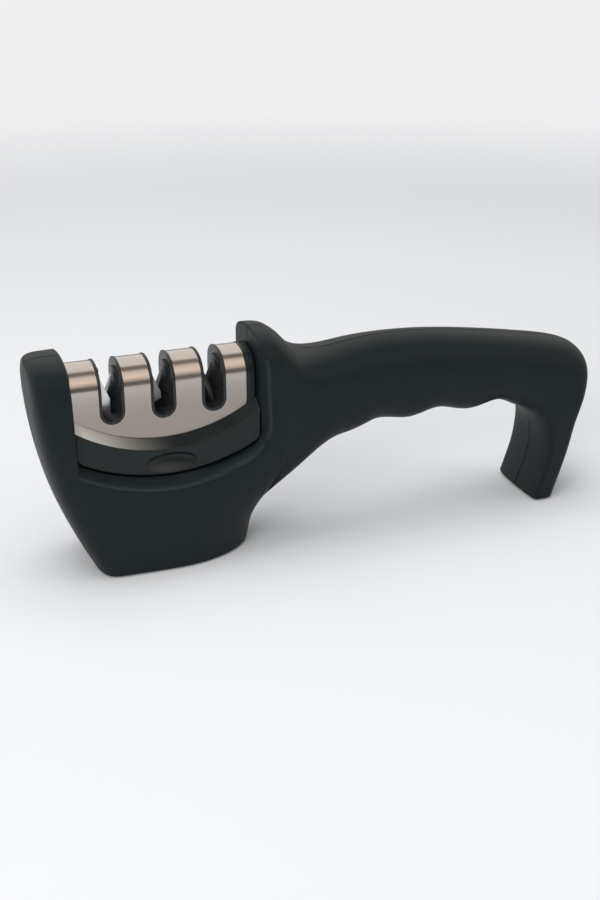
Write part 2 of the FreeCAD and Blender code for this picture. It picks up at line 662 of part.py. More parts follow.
def screw(label, kind, placement):
    """Pan-head screw turned about its own Y axis, its head above Y = 0 and its point below."""
    body = doc.addObject("PartDesign::Body", label)
    body.Label = label
    head = cell(kind + "_screw_head", 0.5)
    head_top = cell(kind + "_screw_head", 0.4)
    shank = cell(kind + "_screw_diameter", 0.5)
    point = cell(kind + "_screw_diameter", 0.2)
    shoulder = cell(kind + "_screw_length", -0.88)
    end = cell(kind + "_screw_length", -1.0)
    sketch = bound_outline(body, label + "_profile", [
        (ZERO, head_top), (head, head_top), (head, ZERO), (shank, ZERO),
        (shank, shoulder), (point, end), (ZERO, end)])
    turned = body.newObject("PartDesign::Revolution", label + "_turned")
    turned.Profile = sketch
    turned.ReferenceAxis = (sketch, ["V_Axis"])
    turned.Angle = 360.0
    body.Placement = placement
    return body


def non_slip_pad(label, pad, centre_x):
    """Rubber pad with rounded corners, seated in the underside and standing a little proud."""
    body = doc.addObject("PartDesign::Body", label)
    body.Label = label

    def share(name, factor):
        text, number = pad[name]
        return "(%s) * %g" % (text, factor), number * factor

    corners = [(share("length", along), share("width", across))
               for along, across in ((-0.5, -0.5), (0.5, -0.5), (0.5, 0.5), (-0.5, 0.5))]
    slab = body.newObject("PartDesign::Pad", label + "_slab")
    slab.Profile = bound_outline(body, label + "_outline", corners)
    slab.setExpression("Length", "Sizes.pad_thickness")
    doc.recompute()
    uprights = ["Edge%d" % (index + 1) for index, edge in enumerate(slab.Shape.Edges)
                if abs(edge.BoundBox.ZLength - size("pad_thickness")) < EPS]
    rounded = body.newObject("PartDesign::Fillet", label + "_corners")
    rounded.Base = (slab, uprights)
    rounded.setExpression("Radius", "Sizes.pad_corner")
    body.Placement = Placement(Vector(centre_x, 0, 0), Rotation())
    return body


def abrasive(label, kind, x, side):
    """One abrasive of a crossed pair: a bar or blade is a box and a rod is a cylinder."""
    if kind == "rod":
        piece = doc.addObject("Part::Cylinder", label)
        piece.setExpression("Radius", "Sizes.rod_diameter / 2")
        piece.setExpression("Height", "Sizes.rod_length")
        radius = size("rod_diameter") / 2
        corner = Vector(side * radius, side * (radius + SPLIT), -size("rod_tail"))
    else:
        piece = doc.addObject("Part::Box", label)
        piece.setExpression("Length", "Sizes.%s_width" % kind)
        piece.setExpression("Width", "Sizes.%s_thickness" % kind)
        piece.setExpression("Height", "Sizes.%s_length" % kind)
        width, thickness = size(kind + "_width"), size(kind + "_thickness")
        corner = Vector(min(0, side * width), min(side * SPLIT, side * (SPLIT + thickness)),
                        -size(kind + "_tail"))
    piece.Label = label
    lean = Placement(Vector(x, 0, size("vee_apex_height")),
                     Rotation(Y_AXIS, side * size("vee_half_angle")))
    piece.Placement = lean * Placement(corner, Rotation())
    return piece


def build():
    """Every sub-part of the sharpener, each an object of the document."""
    half = shell_half()
    other_half = half.mirror(Vector(0, 0, 0), Y_AXIS)
    pieces = [feature("near_shell", drilled(half, -1)), feature("far_shell", drilled(other_half, 1))]
    for index, (x, z) in enumerate(SHELL_SCREWS, start=1):
        place = Placement(Vector(x, SEAT_Y, z), Rotation())
        pieces.append(screw("shell_screw_%d" % index, "shell", place))
    pieces += [non_slip_pad(*pad) for pad in pads()]
    core = core_block()
    pieces.append(feature("cartridge_base", cartridge_base()))
    pieces.append(feature("core_near", core_half(core, -1)))
    pieces.append(feature("core_far", core_half(core, 1)))
    pieces.append(feature("steel_cover", steel_cover()))
    for index, (x, y) in enumerate(CORE_SCREWS, start=1):
        place = Placement(Vector(x, y, SCREW_SEAT_Z), Rotation(Vector(1, 0, 0), -90))
        pieces.append(screw("core_screw_%d" % index, "core", place))
    for x, (label, kind) in zip(SLOT_XS, STAGES):
        for side, word in ((-1, "left"), (1, "right")):
            pieces.append(abrasive("%s_%s" % (label, word), kind, x, side))
    return pieces


def check(pieces):
    """Stop before anything is written if an object failed or a shape isn't sound."""
    for item in doc.Objects:
        if "Invalid" in item.State or "Error" in item.State:
            raise RuntimeError("%s failed: %s" % (item.Label, item.State))
    for piece in pieces:
        if piece.Shape.isNull() or not piece.Shape.isValid() or piece.Shape.Volume <= 0:
            raise RuntimeError("%s has no sound shape" % piece.Label)


def main():
    pieces = build()
    doc.recompute()
    check(pieces)
    os.makedirs("parts", exist_ok=True)
    for piece in pieces:
        piece.Shape.exportStep("parts/%s.step" % piece.Label)
        print("%-20s %10.1f mm3" % (piece.Label, piece.Shape.Volume))


main()
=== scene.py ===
"""Looks of a hand-held sharpener with three slots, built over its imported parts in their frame.

The handle's skin, the cartridge and its steel cover are surfaces worked out as whole arrays on
grids of two parameters. Lengths are millimetres unless a docstring says metres; meshes are
written in metres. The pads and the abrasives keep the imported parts' own shapes.
"""
import logging
import math
from dataclasses import dataclass, field
from enum import Enum
from typing import Callable, Sequence

import bmesh
import bpy
import numpy as np
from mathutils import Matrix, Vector


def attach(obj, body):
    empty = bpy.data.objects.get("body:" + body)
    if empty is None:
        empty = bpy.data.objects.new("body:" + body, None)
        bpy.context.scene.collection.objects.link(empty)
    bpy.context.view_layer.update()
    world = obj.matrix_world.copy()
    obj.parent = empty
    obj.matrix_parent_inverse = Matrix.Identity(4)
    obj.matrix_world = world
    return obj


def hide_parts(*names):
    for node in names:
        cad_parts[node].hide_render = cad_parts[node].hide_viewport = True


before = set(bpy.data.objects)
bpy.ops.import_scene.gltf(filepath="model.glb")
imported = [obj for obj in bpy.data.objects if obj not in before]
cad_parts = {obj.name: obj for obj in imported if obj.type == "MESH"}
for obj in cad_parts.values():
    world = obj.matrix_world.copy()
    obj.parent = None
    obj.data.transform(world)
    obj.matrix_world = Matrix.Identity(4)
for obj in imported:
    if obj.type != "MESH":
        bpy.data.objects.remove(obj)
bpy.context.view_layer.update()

MM = 0.001              # metres in a millimetre
WELD = 2e-6             # points nearer than this many metres become one
TINY = 1e-9             # shortest length that a direction is taken from
SHARP_ANGLE = 35.0      # edges that turn by more than this many degrees stay crisp
QUARTER = math.pi / 2
SLOT_CENTRES = (-75.65, -58.65, -41.65)
Array = np.ndarray
log = logging.getLogger("sharpener")


class Side(Enum):
    """Which half of the handle a piece belongs to, as the sign of its Y."""

    NEAR = -1
    FAR = 1


class Body(Enum):
    """The two bodies that the cartridge's lift joint joins."""

    HANDLE = "handle"
    CARTRIDGE = "cartridge"


# ------------------------------------------------------------------ surfaces as arrays

def grid_faces(rows: int, columns: int, start: int) -> Array:
    """Quads between neighbouring points of a grid stored row by row.

    Args:
        rows: number of rows of points.
        columns: number of points in a row.
        start: index of the grid's first point in the mesh.
    Returns:
        Whole numbers of shape (quads, 4).
    """
    index = start + np.arange(rows * columns).reshape(rows, columns)
    corners = (index[:-1, :-1], index[1:, :-1], index[1:, 1:], index[:-1, 1:])
    return np.stack(corners, axis=-1).reshape(-1, 4)


def welded_mesh(name: str, grids: Sequence[Array], closed: bool) -> bpy.types.Mesh:
    """A mesh from grids of points: what they share is welded and their faces point one way.

    Args:
        name: name of the mesh.
        grids: arrays of shape (rows, columns, 3) in millimetres.
        closed: whether flat leftovers are taken out and openings filled.
    Returns:
        The new mesh, in metres.
    """
    points = np.concatenate([grid.reshape(-1, 3) for grid in grids]) * MM
    faces = []
    start = 0
    for grid in grids:
        faces.append(grid_faces(grid.shape[0], grid.shape[1], start))
        start += grid.shape[0] * grid.shape[1]
    mesh = bpy.data.meshes.new(name)
    mesh.from_pydata(points.tolist(), [], np.concatenate(faces).tolist())
    tidy = bmesh.new()
    tidy.from_mesh(mesh)
    bmesh.ops.remove_doubles(tidy, verts=tidy.verts[:], dist=WELD)
    if closed:
        bmesh.ops.dissolve_degenerate(tidy, dist=WELD, edges=tidy.edges[:])
        bmesh.ops.holes_fill(tidy, edges=tidy.edges[:], sides=0)
    bmesh.ops.recalc_face_normals(tidy, faces=tidy.faces[:])
    tidy.to_mesh(mesh)
    tidy.free()
    return mesh


def placed(name: str, data: bpy.types.ID) -> bpy.types.Object:
    """A new object in the scene.

    Args:
        name: name of the object.
        data: the mesh, lamp or camera that it shows.
    Returns:
        The object, at the origin.
    """
    thing = bpy.data.objects.new(name, data)
    bpy.context.scene.collection.objects.link(thing)
    return thing


def new_piece(name: str, grids: Sequence[Array],
              sharp_angle: float = SHARP_ANGLE) -> bpy.types.Object:
    """One closed piece from grids of points that share their edges.

    Args:
        name: name of the piece.
        grids: arrays of shape (rows, columns, 3) in millimetres.
        sharp_angle: edges that turn by more than this many degrees stay crisp.
    Returns:
        The new object, at the origin, unturned and unscaled.
    """
    mesh = welded_mesh(name, grids, closed=True)
    mesh.shade_smooth()
    mesh.set_sharp_from_angle(angle=math.radians(sharp_angle))
    return placed(name, mesh)


def new_sheet(name: str, grids: Sequence[Array], thickness: float) -> bpy.types.Object:
    """An open sheet with a live thickness and bevel.

    Args:
        name: name of the piece.
        grids: arrays of shape (rows, columns, 3) in millimetres, all on its outer face.
        thickness: how thick it is, inwards, in millimetres.
    Returns:
        The new object, at the origin, unturned and unscaled.
    """
    mesh = welded_mesh(name, grids, closed=False)
    centres, normals = np.empty((2, 3 * len(mesh.polygons)))
    mesh.polygons.foreach_get("center", centres)
    mesh.polygons.foreach_get("normal", normals)
    near_top = centres[2::3] > 0.99 * centres[2::3].max()     # these should face upwards
    if normals[2::3][near_top].sum() < 0:
        mesh.flip_normals()
    mesh.shade_smooth()
    piece = placed(name, mesh)
    wall = piece.modifiers.new("thickness", "SOLIDIFY")
    wall.thickness = thickness * MM
    wall.offset = -1
    bevel = piece.modifiers.new("burr", "BEVEL")
    bevel.width = 0.2 * thickness * MM
    bevel.segments = 2
    bevel.limit_method = "ANGLE"
    bevel.angle_limit = math.radians(50)
    return piece


def mirrored(grid: Array) -> Array:
    """The same grid on the other side of the joint plane: Y changes its sign."""
    return grid * np.array([1.0, -1.0, 1.0])


def unit(vectors: Array) -> Array:
    """Vectors along the last axis at length one, where they have a length at all."""
    return vectors / np.maximum(np.linalg.norm(vectors, axis=-1, keepdims=True), TINY)


def joined(*parts: Array) -> Array:
    """Runs of samples in a row, where each run starts with the last sample of the one before."""
    return np.concatenate([part[:-1] for part in parts[:-1]] + [parts[-1]])


def rounded_profile(corners: Sequence[Array], rounds: Sequence[float],
                    spans: Sequence[int], steps: int = 5) -> Array:
    """A bent strip with rounded folds, carried along a path.

    Each corner is a line of points. A fold of round r leaves its two straight sides r before the
    corner, and a quadratic curve pulled by the corner joins them: the corner's weight at the
    share t of the way is 2 t (1 - t), and the two ends have (1 - t) squared and t squared.

    Args:
        corners: lines of points of shape (columns, 3), across the strip in order.
        rounds: how far each corner's rounding reaches along its two sides, 0 for a sharp one.
        spans: rows of quads between one corner and the next.
        steps: rows of quads in each rounding.
    Returns:
        Grid of shape (rows, columns, 3).
    """
    rows = []
    for number, corner in enumerate(corners):
        round_size = rounds[number]
        if round_size > 0:
            start = corner + unit(corners[number - 1] - corner) * round_size
            end = corner + unit(corners[number + 1] - corner) * round_size
        else:
            start = end = corner
        if rows:
            last = rows[-1]
            share = np.linspace(0, 1, spans[number - 1] + 1)[1:-1, None, None]
            rows.extend(last + (start - last) * share)
        if round_size > 0:
            turn = np.linspace(0, 1, steps + 1)[:, None, None]
            rows.extend((1 - turn) ** 2 * start + 2 * turn * (1 - turn) * corner + turn ** 2 * end)
        else:
            rows.append(corner)
    return np.stack(rows)


def crossing(value: Callable[[Array], Array], low: Array, high: Array) -> Array:
    """Where a rising function of each sample passes zero, found by halving forty times.

    Args:
        value: function of one number per sample, below zero at low and above it at high.
        low: lower ends.
        high: upper ends.
    Returns:
        One number per sample.
    """
    for _ in range(40):
        middle = (low + high) / 2
        below = value(middle) < 0
        low, high = np.where(below, middle, low), np.where(below, high, middle)
    return (low + high) / 2


def blended_minimum(first: Array, second: Array, reach: float) -> Array:
    """The smaller of two numbers, with the change-over rounded across a difference of reach.

    Where the two differ by less than reach, reach / 4 times the square of the share of reach that
    is left is taken off.

    Args:
        first: numbers.
        second: numbers of the same shape.
        reach: the difference at which the rounding starts.
    Returns:
        Numbers of that shape.
    """
    near = np.maximum(reach - np.abs(first - second), 0) / reach
    return np.minimum(first, second) - near ** 2 * reach / 4


def spline_weights(at: Array, count: int) -> Array:
    """Weights of a cubic B-spline's poles, evenly knotted and clamped at both ends.

    The degree is raised from 0 to 3 by Cox and de Boor's rule: each weight is a mix of two
    neighbouring weights of one degree less, in proportion to the distance to their knots.

    Args:
        at: parameters, from 0 to count - 3.
        count: number of poles.
    Returns:
        Array of shape (samples, count).
    """
    knots = np.concatenate([np.zeros(3), np.arange(count - 2), np.full(3, count - 3)])
    at = np.clip(at, 0, count - 3 - 1e-9)[:, None]
    weights = ((knots[:-1] <= at) & (at < knots[1:])).astype(float)
    for degree in (1, 2, 3):
        left_span = knots[degree:-1] - knots[:-degree - 1]
        right_span = knots[degree + 1:] - knots[1:-degree]
        left = (at - knots[:-degree - 1]) / np.maximum(left_span, 1) * (left_span > 0)
        right = (knots[degree + 1:] - at) / np.maximum(right_span, 1) * (right_span > 0)
        weights = left * weights[:, :-1] + right * weights[:, 1:]
    return weights


@dataclass(frozen=True)
class Bore:
    """A round hole: its centre across its axis, where it starts and ends, and its radius.

    The centre is X and Z for a hole along Y, and X and Y for one along Z.
    """

    first: float
    second: float
    start: float
    end: float
    radius: float
    axis: str

    def grid(self) -> Array:
        """Its wall and ends as one closed surface: circles along the axis, points at the ends.

        Returns:
            Grid of shape (4, 49, 3).
        """
        turn = np.linspace(0, 2 * math.pi, 49)
        radius = np.array([0, self.radius, self.radius, 0])[:, None]
        along = np.array([self.start, self.start, self.end, self.end])[:, None]
        along = np.broadcast_to(along, (4, len(turn)))
        first = self.first + radius * np.cos(turn)
        second = self.second + radius * np.sin(turn)
        parts = (first, along, second) if self.axis == "Y" else (first, second, along)
        return np.stack(parts, axis=-1)


def drill(piece: bpy.types.Object, bores: Sequence[Bore]) -> None:
    """Takes round holes out of a piece and stores the result as its mesh.

    Args:
        piece: a closed piece.
        bores: holes that don't meet each other.
    """
    tool = new_piece("bore_tool", [bore.grid() for bore in bores])
    cut = piece.modifiers.new("bores", "BOOLEAN")
    cut.operation = "DIFFERENCE"
    cut.solver = "EXACT"
    cut.object = tool
    bpy.context.view_layer.update()
    shaped = piece.evaluated_get(bpy.context.evaluated_depsgraph_get())
    before = piece.data
    after = bpy.data.meshes.new_from_object(shaped)
    piece.modifiers.clear()
    piece.data = after
    after.name = before.name
    bpy.data.meshes.remove(before)
    bpy.data.objects.remove(tool)
    after.set_sharp_from_angle(angle=math.radians(SHARP_ANGLE))


# ------------------------------------------------------------------ finishes

class Nodes:
    """A material's node tree, with short calls for the nodes that the finishes share."""

    def __init__(self, name: str) -> None:
        """Makes an empty material with a Principled shader.

        Args:
            name: name of the material.
        """
        self.material = bpy.data.materials.new(name)
        self.material.use_nodes = True
        self.tree = self.material.node_tree
        self.shader = next(n for n in self.tree.nodes if n.type == "BSDF_PRINCIPLED")
        self.place = self.tree.nodes.new("ShaderNodeTexCoord").outputs["Object"]

    def add(self, kind: str, **settings: object) -> bpy.types.Node:
        """A new node with its properties set.

        Args:
            kind: Blender's name of the node.
            settings: its properties.
        Returns:
            The node.
        """
        node = self.tree.nodes.new(kind)
        for key, value in settings.items():
            setattr(node, key, value)
        return node

    def link(self, output: bpy.types.NodeSocket, target: bpy.types.NodeSocket) -> None:
        """Joins two sockets."""
        self.tree.links.new(output, target)

    def stretched(self, scale: tuple[float, float, float]) -> bpy.types.NodeSocket:
        """The object's own coordinates, stretched.

        Args:
            scale: one factor for each axis.
        Returns:
            The coordinates' output.
        """
        node = self.add("ShaderNodeMapping")
        node.inputs["Scale"].default_value = scale
        self.link(self.place, node.inputs["Vector"])
        return node.outputs["Vector"]

    def noise(self, where: bpy.types.NodeSocket, scale: float, detail: float = 2.0,
              roughness: float = 0.5) -> bpy.types.NodeSocket:
        """A cloud pattern.

        Args:
            where: coordinates that it reads.
            scale: waves in a metre.
            detail: octaves.
            roughness: share of each finer octave.
        Returns:
            Its 0 to 1 output.
        """
        node = self.add("ShaderNodeTexNoise")
        node.inputs["Scale"].default_value = scale
        node.inputs["Detail"].default_value = detail
        node.inputs["Roughness"].default_value = roughness
        self.link(where, node.inputs["Vector"])
        return node.outputs["Fac"]

    def ramp(self, value: bpy.types.NodeSocket, low: float, high: float) -> bpy.types.NodeSocket:
        """A cloud pattern's value spread over a range.

        Args:
            value: the pattern, which lies between 0.3 and 0.7 nearly everywhere.
            low: what 0.3 becomes.
            high: what 0.7 becomes.
        Returns:
            The number output.
        """
        node = self.add("ShaderNodeMapRange")
        node.inputs["From Min"].default_value = 0.3
        node.inputs["From Max"].default_value = 0.7
        node.inputs["To Min"].default_value = low
        node.inputs["To Max"].default_value = high
        self.link(value, node.inputs["Value"])
        return node.outputs["Result"]

    def tint(self, value: bpy.types.NodeSocket, dark: Sequence[float] | None,
             light: Sequence[float] | None,
             other: bpy.types.NodeSocket | None = None) -> bpy.types.NodeSocket:
        """A colour between dark and light, by a 0 to 1 value.

        Args:
            value: the share of light.
            dark: colour at 0, or None where other is that colour.
            light: colour at 1, or None where other is that colour.
            other: a colour output of another node.
        Returns:
            The colour output.
        """
        node = self.add("ShaderNodeMix", data_type="RGBA")
        sockets = [s for s in node.inputs if s.type == "RGBA"]
        for socket, colour in zip(sockets, (dark, light)):
            if colour is None:
                self.link(other, socket)
            else:
                socket.default_value = (*colour, 1)
        self.link(value, node.inputs["Factor"])
        return next(s for s in node.outputs if s.type == "RGBA")

    def distance_from_joint(self, half_gap: float) -> bpy.types.NodeSocket:
        """How far off the joint plane Y = 0 a place is.

        Args:
            half_gap: millimetres on both sides of the plane where the share reaches 1; nearer
                than 0.4 of that it is 0.
        Returns:
            The 0 to 1 output.
        """
        split = self.add("ShaderNodeSeparateXYZ")
        self.link(self.place, split.inputs[0])
        size = self.add("ShaderNodeMath", operation="ABSOLUTE")
        self.link(split.outputs["Y"], size.inputs[0])
        spread = self.add("ShaderNodeMapRange")
        spread.inputs["From Min"].default_value = 0.4 * half_gap * MM
        spread.inputs["From Max"].default_value = half_gap * MM
        self.link(size.outputs[0], spread.inputs["Value"])
        return spread.outputs["Result"]

    def rise(self, low: float, high: float, power: float) -> bpy.types.NodeSocket:
        """The share of the way up between two heights, to a power.

        Args:
            low: height in millimetres where it is 0.
            high: height in millimetres where it is 1.
            power: above 1, it rises late.
        Returns:
            The 0 to 1 output.
        """
        split = self.add("ShaderNodeSeparateXYZ")
        self.link(self.place, split.inputs[0])
        spread = self.add("ShaderNodeMapRange")
        spread.inputs["From Min"].default_value = low * MM
        spread.inputs["From Max"].default_value = high * MM
        self.link(split.outputs["Z"], spread.inputs["Value"])
        curve = self.add("ShaderNodeMath", operation="POWER")
        curve.inputs[1].default_value = power
        self.link(spread.outputs["Result"], curve.inputs[0])
        return curve.outputs[0]

    def scaled(self, value: bpy.types.NodeSocket, factor: float) -> bpy.types.NodeSocket:
        """A number times a factor.

        Args:
            value: the number.
            factor: what it is multiplied by.
        Returns:
            The number output.
        """
        node = self.add("ShaderNodeMath", operation="MULTIPLY")
        node.inputs[1].default_value = factor
        self.link(value, node.inputs[0])
        return node.outputs[0]

    def fade_out(self, start: float, end: float) -> None:
        """Lets the surface turn clear between two distances, in metres, from the object's middle.

        Args:
            start: where it starts to fade.
            end: where it is clear.
        """
        length = self.add("ShaderNodeVectorMath", operation="LENGTH")
        self.link(self.place, length.inputs[0])
        spread = self.add("ShaderNodeMapRange", interpolation_type="SMOOTHSTEP")
        spread.inputs["From Min"].default_value = start
        spread.inputs["From Max"].default_value = end
        self.link(length.outputs["Value"], spread.inputs["Value"])
        mix = self.add("ShaderNodeMixShader")
        self.link(spread.outputs["Result"], mix.inputs[0])
        self.link(self.shader.outputs[0], mix.inputs[1])
        self.link(self.add("ShaderNodeBsdfTransparent").outputs[0], mix.inputs[2])
        output = next(n for n in self.tree.nodes if n.type == "OUTPUT_MATERIAL")
        self.link(mix.outputs[0], output.inputs["Surface"])

    def attribute(self, name: str) -> bpy.types.NodeSocket:
        """A number that the mesh stores for each of its points."""
        node = self.add("ShaderNodeAttribute", attribute_name=name)
        return node.outputs["Fac"]

    def bump(self, height: bpy.types.NodeSocket, distance: float, strength: float,
             before: bpy.types.NodeSocket | None = None) -> bpy.types.NodeSocket:
        """A normal pushed about by a height.

        Args:
            height: 0 to 1 pattern.
            distance: metres between its low and its high places.
            strength: share of the effect.
            before: a normal that is already pushed about.
        Returns:
            The normal output.
        """
        node = self.add("ShaderNodeBump")
        node.inputs["Distance"].default_value = distance
        node.inputs["Strength"].default_value = strength
        self.link(height, node.inputs["Height"])
        if before is not None:
            self.link(before, node.inputs["Normal"])
        return node.outputs["Normal"]


@dataclass(frozen=True)
class MouldedPlastic:
    """Moulded plastic: a fine eroded grain, a faint mottle and slightly uneven gloss.

    A seam is a dark line where two halves meet, that many millimetres wide on each side of the
    joint. An edge highlight and a sheen are painted light: paler tints, as strong as the numbers
    that the piece stores for its points under "border_edge" and "ledge_light". Depths are metres.
    """

    name: str
    dark: tuple[float, float, float]
    light: tuple[float, float, float]
    gloss: tuple[float, float]
    grain_per_metre: float = 2600.0
    grain_depth: float = 0.00004
    grain_share: float = 0.35
    specular: float = 0.18
    seam: float = 0.0
    seam_dark: tuple[float, float, float] = (0.002, 0.003, 0.003)
    seam_depth: float = 0.00015
    edge_highlight: tuple[float, float, float] | None = None
    glow: tuple[float, float, float] | None = None

    def material(self) -> bpy.types.Material:
        """The finish as a node material.

        Returns:
            The material.
        """
        nodes = Nodes(self.name)
        mottle = nodes.noise(nodes.place, 55.0, 3.0)
        grain = nodes.noise(nodes.place, self.grain_per_metre, 2.0, 0.6)
        colour = nodes.tint(mottle, self.dark, self.light)
        normal = nodes.bump(grain, self.grain_depth, self.grain_share)
        if self.seam > 0:
            off_joint = nodes.distance_from_joint(self.seam)
            colour = nodes.tint(off_joint, self.seam_dark, None, colour)
            normal = nodes.bump(off_joint, self.seam_depth, 1.0, normal)
            nodes.link(nodes.scaled(off_joint, self.specular),
                       nodes.shader.inputs["Specular IOR Level"])
        # Painted highlight: a paler tint along the bay border's outer crease.
        if self.edge_highlight:
            colour = nodes.tint(nodes.attribute("border_edge"), None, self.edge_highlight, colour)
        # Painted reflection: a paler tint on the ledge and a painted glint in the dimples.
        if self.glow:
            colour = nodes.tint(nodes.attribute("ledge_light"), None, self.glow, colour)
        nodes.link(colour, nodes.shader.inputs["Base Color"])
        nodes.link(nodes.ramp(grain, *self.gloss), nodes.shader.inputs["Roughness"])
        nodes.link(normal, nodes.shader.inputs["Normal"])
        nodes.shader.inputs["Specular IOR Level"].default_value = self.specular
        return nodes.material


@dataclass(frozen=True)
class BrushedSteel:
    """Steel with brush lines along X: long thin streaks in gloss, tint and height.

    Where pale_from gives two heights in millimetres, a painted reflection turns the steel to the
    pale colour between them, late and then fast: by the share of the way up to the power
    pale_power. The lines' depth is in metres.
    """

    name: str
    dark: tuple[float, float, float]
    light: tuple[float, float, float]
    gloss: tuple[float, float]
    pale_from: tuple[float, float] | None = None
    pale: tuple[float, float, float] = (0.5, 0.445, 0.405)
    pale_power: float = 2.5
    line_depth: float = 0.000012
    line_share: float = 0.25

    def material(self) -> bpy.types.Material:
        """The finish as a node material.

        Returns:
            The material.
        """
        nodes = Nodes(self.name)
        lines = nodes.noise(nodes.stretched((0.03, 1.0, 1.0)), 2200.0, 3.0, 0.65)
        broad = nodes.noise(nodes.stretched((0.15, 1.0, 1.0)), 160.0, 2.0)
        colour = nodes.tint(lines, self.dark, self.light)
        # Painted reflection: the steel is paler towards the top, under the shoulders.
        if self.pale_from:
            share = nodes.rise(*self.pale_from, self.pale_power)
            colour = nodes.tint(share, None, self.pale, colour)
        nodes.link(colour, nodes.shader.inputs["Base Color"])
        nodes.link(nodes.ramp(broad, *self.gloss), nodes.shader.inputs["Roughness"])
        nodes.link(nodes.bump(lines, self.line_depth, self.line_share),
                   nodes.shader.inputs["Normal"])
        nodes.shader.inputs["Metallic"].default_value = 1.0
        return nodes.material


@dataclass(frozen=True)
class Grit:
    """Hard abrasive: sparkling or chalky grains over a plain ground.

    Metal is its metal share, and the grains' depth is in metres.
    """

    name: str
    dark: tuple[float, float, float]
    light: tuple[float, float, float]
    metal: float
    gloss: tuple[float, float]
    grain_per_metre: float = 5200.0
    grain_depth: float = 0.00005

    def material(self) -> bpy.types.Material:
        """The finish as a node material.

        Returns:
            The material.
        """
        nodes = Nodes(self.name)
        grain = nodes.noise(nodes.place, self.grain_per_metre, 3.0, 0.7)
        nodes.link(nodes.tint(grain, self.dark, self.light), nodes.shader.inputs["Base Color"])
        nodes.link(nodes.ramp(grain, *self.gloss), nodes.shader.inputs["Roughness"])
        nodes.link(nodes.bump(grain, self.grain_depth, 0.6), nodes.shader.inputs["Normal"])
        nodes.shader.inputs["Metallic"].default_value = self.metal
        return nodes.material


# The soft-touch plastic's paler edge tint is a painted highlight along the bay border's crease.
SOFT_TOUCH = MouldedPlastic("soft_touch_black", (0.0056, 0.0106, 0.0118), (0.0074, 0.0130, 0.0143),
                            (0.44, 0.54), seam=0.28, specular=0.18,
                            edge_highlight=(0.023, 0.031, 0.034))
# The tray's paler tint is a painted reflection on the ledge and a painted glint in the dimples.
TRAY_BLACK = MouldedPlastic("tray_black", (0.0050, 0.0092, 0.0098), (0.0066, 0.0116, 0.0122),
                            (0.32, 0.42), grain_share=0.2, specular=0.3,
                            glow=(0.69, 0.645, 0.56))
POLISHED_BLACK = MouldedPlastic("polished_black", (0.017, 0.0185, 0.0185), (0.022, 0.024, 0.0235),
                                (0.32, 0.40), grain_per_metre=700.0, grain_share=0.04,
                                specular=0.3)
RUBBER = MouldedPlastic("non_slip_rubber", (0.010, 0.010, 0.011), (0.014, 0.014, 0.015),
                        (0.72, 0.86), grain_per_metre=1500.0, grain_depth=0.00012, grain_share=0.6,
                        specular=0.25)
# Its pale colour between 51 and 64.5 mm up is a painted reflection under the shoulders.
STAINLESS = BrushedSteel("brushed_stainless", (0.315, 0.272, 0.247), (0.370, 0.322, 0.294),
                         (0.16, 0.24), pale_from=(51.0, 64.5))
ZINC = BrushedSteel("zinc_plate", (0.50, 0.50, 0.51), (0.62, 0.62, 0.63), (0.26, 0.36))
CARBIDE = BrushedSteel("ground_carbide", (0.60, 0.58, 0.60), (0.74, 0.72, 0.74), (0.20, 0.30))
DIAMOND = Grit("diamond_coat", (0.022, 0.017, 0.023), (0.070, 0.055, 0.070), 0.6, (0.35, 0.6))
CERAMIC = Grit("fine_ceramic", (0.080, 0.094, 0.080), (0.115, 0.134, 0.115), 0.0, (0.16, 0.26),
               grain_per_metre=1800.0, grain_depth=0.00001)


Finish = MouldedPlastic | BrushedSteel | Grit


def dress(piece: bpy.types.Object, finish: Finish) -> None:
    """Gives a piece one finish all over.

    Args:
        piece: object to dress.
        finish: the finish whose material it gets.
    """
    made = bpy.data.materials.get(finish.name) or finish.material()
    piece.data.materials.clear()
    piece.data.materials.append(made)


def store(piece: bpy.types.Object, name: str, share: Callable[[Array], Array]) -> None:
    """Stores a number for each point of a piece, for its finish to read.

    Args:
        piece: the piece.
        name: name of the attribute.
        share: gives the numbers from points of shape (n, 3) in millimetres.
    """
    flat = np.empty(3 * len(piece.data.vertices))
    piece.data.vertices.foreach_get("co", flat)
    stored = piece.data.attributes.new(name, "FLOAT", "POINT")
    stored.data.foreach_set("value", share(flat.reshape(-1, 3) / MM).astype(float))


def hand_in(piece: bpy.types.Object, body: Body, nodes: Sequence[str],
            finish: Finish) -> None:
    """Dresses a finished piece, hides the parts that it is shown in place of and attaches it to the
    body that it moves with.

    Args:
        piece: the finished object.
        body: the body that it rides on.
        nodes: parts that it is shown in place of.
        finish: its finish.
    """
    dress(piece, finish)
    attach(piece, body.value)
    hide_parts(*nodes)
    log.info("%s: %d faces", piece.name, len(piece.data.polygons))


# ------------------------------------------------------------------ shared places

